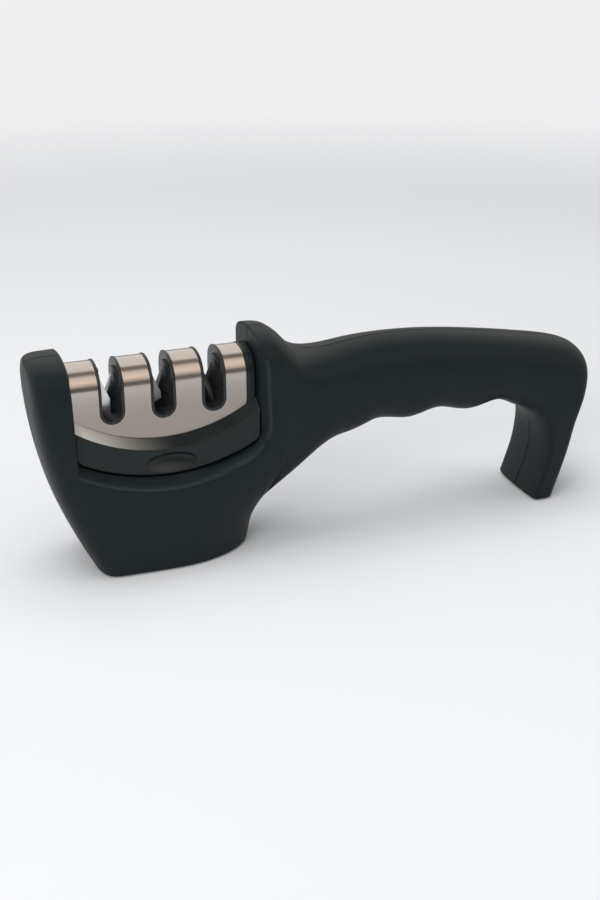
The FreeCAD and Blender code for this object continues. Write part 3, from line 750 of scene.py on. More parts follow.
@dataclass(frozen=True)
class Bay:
    """The cartridge bay between the horns: two upright walls and a floor that is an arc.

    The cartridge is smaller by the clearance at both ends and below.
    """

    front: float = -89.35
    rear: float = -27.05
    floor: float = 33.7
    radius: float = 63.0
    corner: float = 3.5
    clearance: float = 0.35

    @property
    def middle(self) -> float:
        """X halfway between the walls."""
        return (self.front + self.rear) / 2

    @property
    def half_cartridge(self) -> float:
        """Half the length of the cartridge."""
        return (self.rear - self.front) / 2 - self.clearance

    @property
    def centre_z(self) -> float:
        """Height of the centre line that the floor and the cartridge's arcs share."""
        return self.floor + self.radius

    def arc_z(self, x: Array | float, radius: float) -> Array:
        """Height of an arc about the shared centre line."""
        return self.centre_z - np.sqrt(radius ** 2 - (np.asarray(x) - self.middle) ** 2)

    def outline(self, inset: float, counts: tuple[int, int]) -> Array:
        """Corner rounds and floor arc in XZ, from the foot of the front wall to the rear one's.

        Each corner is a quarter-like arc about a centre that keeps its radius from the wall and
        from the floor; the floor is an arc about the shared centre line.

        Args:
            inset: how much smaller the outline is than the bay.
            counts: quads along a corner and along the floor.
        Returns:
            Points of shape (samples, 2).
        """
        corner = self.corner - inset
        radius = self.radius - inset
        half = (self.rear - self.front) / 2 - inset
        centre = np.array([-(half - corner), -math.sqrt((radius - corner) ** 2
                                                        - (half - corner) ** 2)])
        lean = math.atan2(-centre[1], -centre[0])
        turn = np.linspace(math.pi, math.pi + lean, counts[0] + 1)
        round_off = centre + corner * np.stack([np.cos(turn), np.sin(turn)], axis=1)
        sweep = np.linspace(math.pi + lean, 2 * math.pi - lean, counts[1] + 1)
        floor = radius * np.stack([np.cos(sweep), np.sin(sweep)], axis=1)
        other = round_off[::-1] * np.array([-1.0, 1.0])
        return joined(round_off, floor, other) + np.array([self.middle, self.centre_z])


BAY = Bay()


# ------------------------------------------------------------------ handle

@dataclass
class HandleSkin:
    """Outer skin of the handle's near half: a cubic spline surface pulled by a net of points.

    The net's lines run down the side view like the rungs of a ladder, from the top line round the
    side to the underside. Parameter u counts along the handle and v down a rung.

    Round the front up to its seam, the top line comes forward by front_round and drops by
    front_drop, the foot goes from base_setback to seam_setback behind base_front, and the rung's
    bow becomes front_bow. The width is less by the share side_taper at 0.6 of grip_top above and
    below taper_height. The nose closes the head's rear in plan: its tip sweeps back by
    nose_sweep times the height over nose_foot and by nose_curl times its square.
    """

    front_x: float = -101.25
    rear_x: float = 101.25
    front_horn: float = 74.7
    rear_horn: float = 77.2
    head: float = 18.5
    hand: float = 13.4
    leg: float = 14.7
    base_front: float = -85.25
    base_rear: float = -29.25
    front_round: float = 11.0
    front_drop: float = 2.2
    front_bow: float = -6.8
    base_setback: float = 14.0
    seam_setback: float = 4.8
    grip_top: float = 69.3
    grip_depth: float = 30.0
    groove_pitch: float = 23.7
    groove_depth: float = 1.6
    first_groove: float = 47.0
    foot_length: float = 10.3
    leg_lean: float = 12.0
    side_taper: float = 0.08
    taper_height: float = 30.0
    nose_length: float = 26.0
    nose_foot: float = 8.0
    nose_top: float = 34.0
    nose_sweep: float = 0.32
    nose_curl: float = 0.036
    nose_fade: float = 14.0
    net: Array = field(init=False)

    def __post_init__(self) -> None:
        """Works the net out once."""
        self.net = self.make_net()

    def rungs(self) -> Array:
        """The rungs of the ladder, from the front to the foot of the leg.

        Returns:
            Array of shape (rungs, 8): top x, top z, bottom x, bottom z, half width, top round,
            bottom round and bow.
        """
        horn, grip, head, hand, leg = self.rear_horn, self.grip_top, self.head, self.hand, self.leg
        neck, span = self.base_rear, self.rear_x - self.base_rear
        under = grip - self.grip_depth
        heel = self.rear_x - self.leg_lean
        toe = heel - self.foot_length
        wall = BAY.rear
        return np.array([
            (self.front_x + self.front_round, self.front_horn, self.base_front + self.base_setback,
             -6, head * 0.97, 9, 7, -3.4),
            (BAY.middle, (self.front_horn + horn) / 2, self.base_front + 29, -6, head, 9, 7, -0.6),
            (wall, horn, neck - 12.5, -6, head * 0.95, 10, 9, 1.0),
            (wall + 8.2, horn - 1.8, neck - 3.5, -4, head * 0.91, 9, 10, 1.8),
            (wall + 14.2, grip + 0.1, neck + 0.4, 4, head * 0.875, 9, 10, 1.0),
            (wall + 20.2, grip - 2.4, neck + 3.0, 13, head * 0.84, 10, 12, 0.5),
            (wall + 28, grip - 2.6, neck + 13.3, 23.2, (head + hand) * 0.47, 11, 14, 0),
            (neck + span * 0.301, grip - 1.3, neck + span * 0.201, under - 6.5, hand * 1.06,
             12, 14, 0),
            (neck + span * 0.377, grip - 0.5, neck + span * 0.308, under - 2.4, hand * 1.02,
             13, 14, 0),
            (neck + span * 0.491, grip - 0.8, neck + span * 0.453, under - 0.8, hand, 13, 13, 0),
            (neck + span * 0.620, grip - 2.6, neck + span * 0.589, under - 0.8, hand, 13, 12, 0),
            (neck + span * 0.772, grip - 5.8, neck + span * 0.719, under - 0.9, hand * 1.01,
             12, 11, 0),
            (self.rear_x - 8.2, grip - 10.3, toe - 3.3, under - 3.5, hand * 1.04, 12, 10, 0),
            (self.rear_x - 0.5, grip - 16.0, toe + 2.2, under - 8.3, leg * 0.98, 10, 6, 0),
            (self.rear_x - 0.2, grip - 25.8, toe + 4.6, 25.5, leg, 9, 4, 0),
            (self.rear_x - 3.4, 33, toe + 4.9, 19.5, leg, 8, 3, 0),
            (heel + 5.9, 19, toe + 3.8, 12, leg, 7, 2.2, 0),
            (heel + 0.6, 0.2, toe - 0.3, 0.2, leg, 6, 1.8, 0),
            (heel - 0.6, -4, toe - 1.3, -4, leg, 6, 1.8, 0),
        ], dtype=float)

    def groove(self, x: Array) -> Array:
        """Finger grooves: a cosine wave of one pitch, faded out at both ends of the grip.

        Args:
            x: places along the underside.
        Returns:
            How much higher the underside is there, of the same shape.
        """
        first = self.base_rear + self.first_groove
        last = first + 2 * self.groove_pitch
        fade = 0.5 * self.groove_pitch
        # Each fade is half a pitch long and ends 0.5 or 0.2 of that outside the outer grooves.
        fade_in = np.clip((x - first) / fade + 1.5, 0, 1)
        fade_out = np.clip((last - x) / fade + 1.2, 0, 1)
        wave = np.cos(2 * math.pi * (x - first) / self.groove_pitch)
        return self.groove_depth * fade_in * fade_out * wave

    def nose(self, x: Array, z: Array) -> Array:
        """Share of the half width left where the head's rear closes to a nose in plan.

        The nose's tip sweeps back in a parabola of the height, and the share is a quarter ellipse
        of the distance in front of that tip; it fades out towards the nose's top.

        Args:
            x: places along the handle.
            z: heights of the same shape.
        Returns:
            Shares of that shape, 1 where the nose has no say.
        """
        height = np.maximum(z - self.nose_foot, 0)
        tip = self.base_rear + 1.0 + self.nose_sweep * height + self.nose_curl * height ** 2
        length = np.maximum(self.nose_length - 0.6 * height, 6)
        share = np.clip((tip - x) / length, 0.02, 1)
        fade = np.clip((self.nose_top - z) / self.nose_fade, 0, 1)
        left = 1 - (1 - np.sqrt(share * (2 - share))) * fade
        return np.where(x > self.base_rear + 1.5 * self.nose_length, 1.0, left)

    def make_net(self) -> Array:
        """The net of points: eight rows round the front, then three for each rung.

        Between rungs every number follows a Catmull-Rom curve. Down a rung the half width follows
        a sine over the top and bottom rounds, made fuller by a sine of twice the turn, and it
        tapers with the square of the distance from taper_height. Round the front it closes with
        the sine of the turn to a power, 0.7 at the foot and 0.42 at the grip's height.

        Returns:
            Array of shape (rows, 25, 3).
        """
        rungs = self.rungs()
        at = np.arange((len(rungs) - 1) * 3 + 1) / 3
        index = np.minimum(at.astype(int), len(rungs) - 2)
        part = (at - index)[:, None]
        padded = np.vstack([2 * rungs[0] - rungs[1], rungs, 2 * rungs[-1] - rungs[-2]])
        before, start, end, after = (padded[index + step] for step in range(4))
        full = ((2 * part ** 3 - 3 * part ** 2 + 1) * start
                + (part ** 3 - 2 * part ** 2 + part) * (end - before) / 2
                + (3 * part ** 2 - 2 * part ** 3) * end
                + (part ** 3 - part ** 2) * (after - start) / 2)
        front_turn = QUARTER * np.arange(8) / 8
        back = 1 - np.sqrt(np.cos(front_turn))
        first = np.tile(rungs[0], (8, 1))
        first[:, 0] -= self.front_round * (1 - back)
        full_turn = front_turn + 0.15 * np.sin(2 * front_turn)
        first[:, 1] -= self.front_drop * (1 - np.sin(full_turn))
        first[:, 2] -= (self.base_setback - self.seam_setback) * (1 - back)
        first[:, 7] = self.front_bow + (first[:, 7] - self.front_bow) * back
        rows = np.vstack([first, full])
        row_turn = np.concatenate([front_turn, np.full(len(full), QUARTER)])[:, None]
        tx, tz, bx, bz, half, top, bottom, bow = (rows[:, [column]] for column in range(8))
        bz = bz + self.groove(bx)
        length = np.hypot(bx - tx, bz - tz)
        most = 0.46     # largest share of a rung that one round may take
        top, bottom = np.minimum(top, most * length), np.minimum(bottom, most * length)
        along = np.arange(25)[None, :] / 24
        bend = 0.4      # share of a rung's points that each of its two rounds gets
        turn = QUARTER * np.minimum(np.minimum(along, 1 - along) / bend, 1)
        upper = top * (1 - np.cos(turn)) / length
        lower = 1 - bottom * (1 - np.cos(turn)) / length
        straight = top / length + (1 - (bottom + top) / length) * (along - bend) / (1 - 2 * bend)
        share = np.where(along < bend, upper, np.where(along > 1 - bend, lower, straight))
        x = tx + (bx - tx) * share + 4 * bow * share * (1 - share)
        z = tz + (bz - tz) * share
        front_power = 0.7 - 0.28 * np.clip(z / self.grip_top, 0, 1)
        taper = 1 - self.side_taper * ((z - self.taper_height) / (0.6 * self.grip_top)) ** 2
        width = half * np.sin(turn + 0.12 * np.sin(2 * turn))
        width = width * taper * np.sin(row_turn) ** front_power * self.nose(x, z)
        width[:, [0, -1]] = 0
        return np.stack([x, -width, z], axis=-1)

    def at(self, u: Array, v: Array) -> Array:
        """Points of the skin.

        Args:
            u: parameters along the handle, 0 at the front seam.
            v: parameters down the rungs, 0 at the top line, of the same shape.
        Returns:
            Array of that shape with X, Y and Z added.
        """
        rows, columns = self.net.shape[:2]
        shape = np.broadcast(u, v).shape
        u, v = np.broadcast_to(u, shape).ravel(), np.broadcast_to(v, shape).ravel()
        across = (spline_weights(u, rows) @ self.net.reshape(rows, -1)).reshape(-1, columns, 3)
        return np.einsum("nj,njc->nc", spline_weights(v, columns), across).reshape(shape + (3,))

    def locate(self, target: Array) -> Array:
        """Parameters of points on the side of the skin, found by Newton's rule.

        Args:
            target: X and Z of shape (samples, 2).
        Returns:
            u and v of shape (samples, 2).
        """
        # The search starts from the nearest of a coarse net of places on the head's side.
        u, v = np.meshgrid(np.linspace(0, 30, 121), np.linspace(1, 20, 96), indexing="ij")
        coarse = np.stack([u.ravel(), v.ravel()], axis=1)
        known = self.at(coarse[:, 0], coarse[:, 1])[:, [0, 2]]
        apart = np.sum((known[None] - target[:, None]) ** 2, axis=2)
        found = coarse[np.argmin(apart, axis=1)]
        step = 1e-4
        for _ in range(8):
            here = self.at(found[:, 0], found[:, 1])[:, [0, 2]]
            slope_u = (self.at(found[:, 0] + step, found[:, 1])[:, [0, 2]] - here) / step
            slope_v = (self.at(found[:, 0], found[:, 1] + step)[:, [0, 2]] - here) / step
            slopes = np.stack([slope_u, slope_v], axis=2)
            found = found + np.linalg.solve(slopes, (target - here)[:, :, None])[:, :, 0]
        return found


@dataclass
class HandleShell:
    """Half of the handle: skin, bay walls, and the flat undersides of the head and the leg.

    The fields that end in count or rows are numbers of quads along a stretch. Those that end in
    u or v are the skin's parameters, and the rest are millimetres.
    """

    side: Side
    skin: HandleSkin
    last_v: float = 22.0
    cut_u: float = 25.0
    front_count: int = 70
    base_count: int = 110
    nose_count: int = 50
    rear_count: int = 64
    grip_count: int = 210
    under_level: float = 0.4
    under_round: float = 0.9
    border_inner: float = 13.4
    border_slope: float = 5.1
    floor_flare: float = 3.2
    rear_flare: float = 3.68
    front_flare: float = 0.05
    crease_round: float = 1.8
    edge_round: float = 0.75
    skin_rows: int = 36
    edge_rows: int = 24
    lining_rows: int = 12
    # Where the painted highlight along the border's outer crease lies.
    highlight_gap: float = 0.55
    highlight_spread: float = 0.35
    highlight_top: float = 70.0
    screw_seat: float = 5.0
    well_radius: float = 3.0
    screws: tuple[tuple[float, float], ...] = (
        (-80.75, 21.0), (-43.25, 17.0), (-12.05, 50.5), (38.75, 53.3), (87.75, 44.3))

    def inner_edge(self) -> Array:
        """The bay's outline on the skin: front wall, corner, floor, corner and rear wall.

        Returns:
            u and v of shape (samples, 2).
        """
        skin = self.skin
        outline = BAY.outline(0.0, (12, self.base_count + self.nose_count - 24))
        floor = skin.locate(outline)
        # The front wall lies between u = 0 and 12 on the skin, and the rear wall between 8 and 22.
        down = np.linspace(0, floor[0, 1], self.front_count + 1)
        low, high = np.zeros_like(down), np.full_like(down, 12.0)
        front = crossing(lambda u: skin.at(u, down)[:, 0] - BAY.front, low, high)
        up = np.linspace(floor[-1, 1], 0, self.rear_count + 1)
        low, high = np.full_like(up, 8.0), np.full_like(up, 22.0)
        rear = crossing(lambda u: skin.at(u, up)[:, 0] - BAY.rear, low, high)
        return joined(np.stack([front, down], axis=1), floor, np.stack([rear, up], axis=1))

    def outer_edge(self) -> Array:
        """The outside of the bay's block: front seam, base, nose seam and the grip's first line.

        Returns:
            u and v of shape (samples, 2), as many as the inner edge has.
        """
        skin = self.skin
        level = self.under_level + self.under_round
        # The base's edge ends between u = 14 and 21, and in front of that it lies beyond v = 11.
        end = crossing(lambda u: skin.at(u, np.full(1, self.last_v))[:, 2] - level,
                       np.full(1, 14.0), np.full(1, 21.0))[0]
        u = np.linspace(0, end, self.base_count + 1)
        v = crossing(lambda v: level - skin.at(u, v)[:, 2], np.full_like(u, 11.0),
                     np.full_like(u, self.last_v))
        base = np.stack([u, v], axis=1)
        down = np.linspace(0, v[0], self.front_count + 1)
        seam = np.stack([np.zeros_like(down), down], axis=1)
        u = np.linspace(end, self.cut_u, self.nose_count + 1)
        nose = np.stack([u, np.full_like(u, self.last_v)], axis=1)
        up = np.linspace(self.last_v, 0, self.rear_count + 1)
        cut = np.stack([np.full_like(up, self.cut_u), up], axis=1)
        return joined(seam, base, nose, cut)

    def border_limit(self, x: Array, z: Array) -> Array:
        """Half width that the bevelled border of the bay leaves.

        It grows by border_slope for each floor_flare outside the floor arc and each rear_flare
        outside the rear wall, whichever is more, and where the two meet the distance is rounded.
        In front of the front wall it grows at once, so that the border ends there.

        Args:
            x: places along the handle.
            z: heights of the same shape.
        Returns:
            Half widths of that shape.
        """
        floor = (np.hypot(x - BAY.middle, z - BAY.centre_z) - BAY.radius) / self.floor_flare
        rear = (x - BAY.rear) / self.rear_flare
        front = (BAY.front - x) / self.front_flare
        bend = 1.0
        out = np.hypot(np.maximum(floor + bend, 0), np.maximum(rear + bend, 0)) - bend
        out = np.maximum(np.maximum(out, front), 0)
        return self.border_inner + self.border_slope * out

    def border_edge(self, points: Array) -> Array:
        """How near each point is to the border's outer edge, where a paler tint paints the
        highlight that its crease catches.

        The bevel leaves off where the skin starts to lie inside its limit, so the share is a
        bell curve of the gap between the two about a small gap.

        Args:
            points: points of shape (n, 3).
        Returns:
            Shares from 0 to 1, of shape (n,).
        """
        limit = self.border_limit(points[:, 0], points[:, 2])
        gap = limit - np.abs(points[:, 1])
        bell = np.exp(-((gap - self.highlight_gap) / self.highlight_spread) ** 2)
        on_border = (limit > self.border_inner + 0.1) & (points[:, 2] < self.highlight_top)
        return np.where(on_border, bell, 0)

    def bay_block(self) -> list[Array]:
        """Skin from the bay's outline out to the seams, and the strip that lines the bay.

        Straight lines in u and v lead from the outline to the outside. The first rows are close
        together, and there the skin is held to the border's slope and its edge is rounded: a
        quarter circle sinks the rows nearest the outline along the skin's normal.

        Returns:
            The grid of the skin, whose last row is the outside, and the grid of the lining.
        """
        inner, outer = self.inner_edge(), self.outer_edge()
        start = self.skin.at(inner[:, 0], inner[:, 1])
        end = self.skin.at(outer[:, 0], outer[:, 1])
        reach = np.maximum(np.linalg.norm(end - start, axis=1), 2.0)
        near = np.arange(self.edge_rows + 1) * np.minimum(0.2, reach / 60)[:, None]
        rest = np.linspace(0, 1, self.skin_rows + 1)[None, 1:] ** 1.25
        far = near[:, -1:] + (reach[:, None] - near[:, -1:]) * rest
        distance = np.concatenate([near, far], axis=1)
        share = (distance / reach[:, None]).T[:, :, None]
        spot = inner[None] + (outer - inner)[None] * share
        grid = self.skin.at(spot[..., 0], spot[..., 1])
        limit = self.border_limit(grid[..., 0], grid[..., 2])
        grid[..., 1] = -np.maximum(blended_minimum(-grid[..., 1], limit, self.crease_round), 0)
        grid[:, [0, -1], 1] = 0
        gap = np.minimum(np.linalg.norm(grid - grid[:1], axis=2), self.edge_round)
        sink = self.edge_round - np.sqrt(self.edge_round ** 2 - (self.edge_round - gap) ** 2)
        normal = unit(np.cross(np.gradient(grid, axis=0), np.gradient(grid, axis=1)))
        if np.mean(normal[..., 1]) > 0:
            normal = -normal
        normal[..., 0] = 0
        grid = grid - normal * sink[..., None]
        grid[..., 1] = np.minimum(grid[..., 1], 0)
        grid[..., 2] = np.maximum(grid[..., 2], self.under_level + self.under_round)
        across = np.linspace(1, 0, self.lining_rows + 1)[:, None, None]
        whole = np.ones_like(across)
        lining = grid[:1] * np.concatenate([whole, across, whole], axis=2)
        return [grid, lining]

    def grip_block(self) -> Array:
        """Skin from the line where the grip starts to the foot of the leg.

        Returns:
            Grid whose last row is the foot.
        """
        v = np.linspace(self.last_v, 0, self.rear_count + 1)
        level = self.under_level + self.under_round
        # The leg's foot lies between u = 52 and 60.
        foot = crossing(lambda u: level - self.skin.at(u, v)[:, 2], np.full_like(v, 52.0),
                        np.full_like(v, 60.0))
        along = np.linspace(0, 1, self.grip_count + 1)[:, None]
        u = self.cut_u + (foot[None] - self.cut_u) * along
        grid = self.skin.at(u, np.broadcast_to(v, u.shape))
        grid[:, [0, -1], 1] = 0
        return grid

    def underside(self, edge: Array) -> Array:
        """Rounded edge and flat underside below a line of points at one level.

        The line moves in by a quarter circle of under_round while it drops to under_level; then
        it is drawn straight across to the joint.

        Args:
            edge: points of shape (samples, 3), first and last on the joint.
        Returns:
            Grid of shape (rows, samples, 3).
        """
        whole = np.concatenate([mirrored(edge[1:3])[::-1], edge, mirrored(edge[-3:-1])[::-1]])
        along = unit(np.gradient(whole[:, :2], axis=0)[2:-2])
        inward = np.stack([-along[:, 1], along[:, 0]], axis=1)
        middle = np.array([np.mean(edge[:, 0]), 0.0])
        if np.mean(np.sum(inward * (middle - edge[:, :2]), axis=1)) < 0:
            inward = -inward
        rows = []
        steps = 6
        for turn in np.linspace(0, QUARTER, steps + 1):
            row = edge.copy()
            row[:, :2] += inward * self.under_round * (1 - math.cos(turn))
            row[:, 1] = np.minimum(row[:, 1], 0)
            row[:, 2] = self.under_level + self.under_round * (1 - math.sin(turn))
            rows.append(row)
        grid = np.stack(rows)
        grid[:, [0, -1], 1] = 0
        flat = [grid[-1] * np.array([1, share, 1]) for share in np.linspace(1, 0, steps + 1)[1:]]
        return np.concatenate([grid, flat])

    def build(self) -> bpy.types.Object:
        """Meshes the half, mirrors it for the far side and sinks the screw wells there.

        Returns:
            The finished piece.
        """
        bay, lining = self.bay_block()
        grip = self.grip_block()
        first = self.front_count
        base = bay[-1, first:first + self.base_count + 1]
        foot = grip[-1]
        grids = [bay, lining, grip, self.underside(base), self.underside(foot)]
        if self.side is Side.FAR:
            grids = [mirrored(grid) for grid in grids]
        piece = new_piece(self.side.name.lower() + "_handle_half", grids)
        if self.side is Side.FAR:
            drill(piece, [Bore(x, z, self.screw_seat, 30.0, self.well_radius, "Y")
                          for x, z in self.screws])
        # Stores the share of the painted highlight along the border's crease.
        store(piece, "border_edge", self.border_edge)
        hand_in(piece, Body.HANDLE, [self.side.name.lower() + "_shell"],
                SOFT_TOUCH)
        return piece


# ------------------------------------------------------------------ cartridge

@dataclass
class CartridgeBase:
    """Arc-bottomed base with a sloping ledge, thumb dimples and a flange at each end.

    The ledge runs between two arcs about the bay's centre line. A flange is given by its half
    width and its crown's height. The ledge's glow and the dimples' glint are painted reflections:
    shares of the finish's paler tint. The glow is gone at glow_rear and full from glow_length in
    front of it.
    """

    half_width: float = 14.0
    ledge_outer: float = 53.9
    ledge_inner: float = 51.5
    ledge_start: float = 9.2
    ledge_round: float = 0.45
    bottom_round: float = 0.6
    flange: float = 3.0
    flange_inset: float = 0.04
    front_flange: tuple[float, float] = (8.42, 70.22)
    rear_flange: tuple[float, float] = (9.5, 71.1)
    flange_shoulder: float = 7.2
    flange_foot: float = 47.0
    dimple_length: float = 17.0
    dimple_height: float = 7.0
    dimple_depth: float = 3.0
    dimple_rise: float = 4.4
    glow_rear: float = -54.0
    glow_length: float = 32.0
    glow_top: float = 60.0
    glint: float = 0.05
    screw_seat: float = 37.4
    screws: tuple[tuple[float, float], ...] = tuple(
        (SLOT_CENTRES[1] + step * 8.5, side * 5.0) for step in (-1, 1) for side in (-1, 1))

    def arc_line(self, radius: float, like: Array) -> Array:
        """An arc about the shared centre line, sampled like the outline that it faces.

        Args:
            radius: its radius.
            like: X and Z of the outline, of shape (samples, 2).
        Returns:
            X and Z of the same shape.
        """
        step = np.linalg.norm(np.diff(like, axis=0), axis=1)
        share = np.concatenate([[0], np.cumsum(step)]) / np.sum(step)
        x = BAY.middle + BAY.half_cartridge * (2 * share - 1)
        return np.stack([x, BAY.arc_z(x, radius)], axis=1)

    def dimple(self, points: Array) -> tuple[Array, Array, Array]:
        """Where points lie in the thumb dimple, seen from the side.

        Args:
            points: points of shape (..., 3).
        Returns:
            Shares of the half length rearwards and of the half height upwards, and the depth of
            a ball-like bowl there, which is 1 in the middle and 0 at the rim.
        """
        rearwards = (points[..., 0] - BAY.middle) / (self.dimple_length / 2)
        upwards = (points[..., 2] - BAY.floor - self.dimple_rise) / (self.dimple_height / 2)
        return rearwards, upwards, np.sqrt(np.maximum(1 - rearwards ** 2 - upwards ** 2, 0))

    def body(self) -> list[Array]:
        """The base itself: the outline below carried up the side face and over the ledge.

        The dimple's depth is the bowl times 0.65 plus 0.35 of the bowl again, which softens its
        rim, and it grows from a fifth of that at the dimple's foot to the whole at its top.

        Returns:
            The near half's grid and the far one's.
        """
        floor = BAY.outline(BAY.clearance, (10, 220))
        top = float(BAY.arc_z(BAY.middle - BAY.half_cartridge, self.ledge_outer))
        rise = np.linspace(top, floor[0, 1], 21)
        front = np.stack([np.full_like(rise, floor[0, 0]), rise], axis=1)
        rear = np.stack([np.full_like(rise, floor[-1, 0]), rise[::-1]], axis=1)
        outline = joined(front, floor, rear)
        outer = self.arc_line(self.ledge_outer, outline)
        inner = self.arc_line(self.ledge_inner, outline)

        def at(line: Array, y: float) -> Array:
            """A line in XZ placed at one Y."""
            return np.stack([line[:, 0], np.full(len(line), y), line[:, 1]], axis=1)

        side, foot = -self.half_width, -self.ledge_start
        corners = [at(outline, 0.0), at(outline, side), at(outer, side), at(inner, foot),
                   at(inner, foot + 1.0), at(inner, 0.0)]
        rounds = [0, self.bottom_round, self.ledge_round, 0.15, 0, 0]
        grid = rounded_profile(corners, rounds, [8, 34, 8, 2, 4])
        _, upwards, bowl = self.dimple(grid)
        soft = bowl * (0.65 + 0.35 * bowl) * (0.6 + 0.4 * np.clip(upwards, -1, 1))
        on_side = grid[..., 1] < side + 0.05
        grid[..., 1] += np.where(on_side, self.dimple_depth * soft, 0)
        ends = []
        for column in (0, -1):
            middle = grid[[0, -1], column].mean(axis=0)
            ends.append(np.broadcast_to(middle, (len(grid), 1, 3)))
        grid = np.concatenate([ends[0], grid, ends[1]], axis=1)
        return [grid, mirrored(grid)]

    def light_on_ledge(self, points: Array) -> Array:
        """How much of the painted reflection's pale tint each point has: on the ledge, most at its
        front end.

        The share falls off with the square of the way to glow_rear, and across the ledge it is
        the same. The thumb dimples have a touch of it too, in their low front quarter.

        Args:
            points: points of shape (n, 3).
        Returns:
            Shares from 0 to 1, of shape (n,).
        """
        distance = np.hypot(points[:, 0] - BAY.middle, points[:, 2] - BAY.centre_z)
        across = (np.abs(points[:, 1]) - self.ledge_start) / (self.half_width - self.ledge_start)
        slack = 0.3     # so that points on the arcs count
        on_ledge = (distance < self.ledge_outer + slack) & (distance > self.ledge_inner - slack)
        on_ledge &= (across > -0.02) & (across < 0.93) & (points[:, 2] < self.glow_top)
        along = np.clip((self.glow_rear - points[:, 0]) / self.glow_length, 0, 1)
        glow = np.where(on_ledge, along ** 2, 0)
        # Painted glint in the dimple's low front quarter.
        rearwards, upwards, bowl = self.dimple(points)
        low_front = np.clip(0.1 - 0.5 * rearwards - 0.9 * upwards, 0, 1)
        on_side = np.abs(points[:, 1]) > self.half_width - 2.5
        return np.where(on_side, glow + self.glint * bowl * low_front, glow)

    def flanges(self) -> list[Array]:
        """The two end flanges: an arch outline carried through the flange with rounded edges.

        The front one stops under the steel; the rear one frames the steel's end.

        Returns:
            A grid for each, open at the foot.
        """
        grids = []
        foot = np.array([0.0, self.flange_foot])
        for side, (width, crown) in ((-1, self.front_flange), (1, self.rear_flange)):
            arch = arch_line(width, crown, self.flange_shoulder, self.flange_foot, 30)
            far = BAY.middle + side * (BAY.half_cartridge - self.flange_inset)
            close = BAY.middle + side * (BAY.half_cartridge - self.flange)
            loops = [arch_at(arch, foot, x, share)
                     for x, share in ((far, 0), (far, 1), (close, 1), (close, 0))]
            grids.append(rounded_profile(loops, [0, 0.35, 0.25, 0], [6, 6, 6]))
        return grids

    def build(self) -> bpy.types.Object:
        """Meshes the base with its flanges, and stores where its finish is paler.

        Returns:
            The finished piece.
        """
        piece = new_piece("cartridge_tray", [*self.body(), *self.flanges()])
        # Stores the share of the painted reflection on the ledge and in the dimples.
        store(piece, "ledge_light", self.light_on_ledge)
        hand_in(piece, Body.CARTRIDGE, ["cartridge_base"], TRAY_BLACK)
        return piece


def arch_at(arch: Array, middle: Array, x: float, share: float) -> Array:
    """An arch in YZ placed at one X and drawn in towards a middle: 1 leaves it, 0 is a point."""
    line = middle + (arch - middle) * share
    return np.stack([np.full(len(line), x), line[:, 0], line[:, 1]], axis=1)


def arch_line(half: float, crown: float, radius: float, bottom: float, count: int) -> Array:
    """Upside-down U in YZ: straight sides, round shoulders and a flat arc over the crown.

    The crown's arc meets each shoulder in a common tangent: its radius is the shoulder's plus
    (reach squared + drop squared) / (2 drop), reach being how far off the middle the shoulder's
    centre lies and drop how far its top would lie under the crown.

    Args:
        half: half width of the straight sides.
        crown: height of the middle.
        radius: radius of the shoulders.
        bottom: height where the sides start.
        count: points in half of it.
    Returns:
        Points of shape (2 * count - 1, 2), from the near foot to the far one.
    """
    drop = 0.3
    side_top = crown - drop - radius
    reach = half - radius
    apart = (reach ** 2 + drop ** 2) / (2 * drop)
    bow, meet = radius + apart, math.asin(reach / apart)
    rest = count - 1
    up, turn_count = rest // 3, rest // 3
    over = rest - up - turn_count
    rise = np.linspace(bottom, side_top, up + 1)
    side = np.stack([np.full_like(rise, -half), rise], axis=1)
    turn = np.linspace(0, QUARTER - meet, turn_count + 1)
    bend = np.stack([-reach - radius * np.cos(turn), side_top + radius * np.sin(turn)], axis=1)
    y = np.linspace(-bow * math.sin(meet), 0, over + 1)
    top = np.stack([y, crown - bow + np.sqrt(bow ** 2 - y ** 2)], axis=1)
    line = joined(side, bend, top)
    return joined(line, line[::-1] * np.array([-1.0, 1.0]))


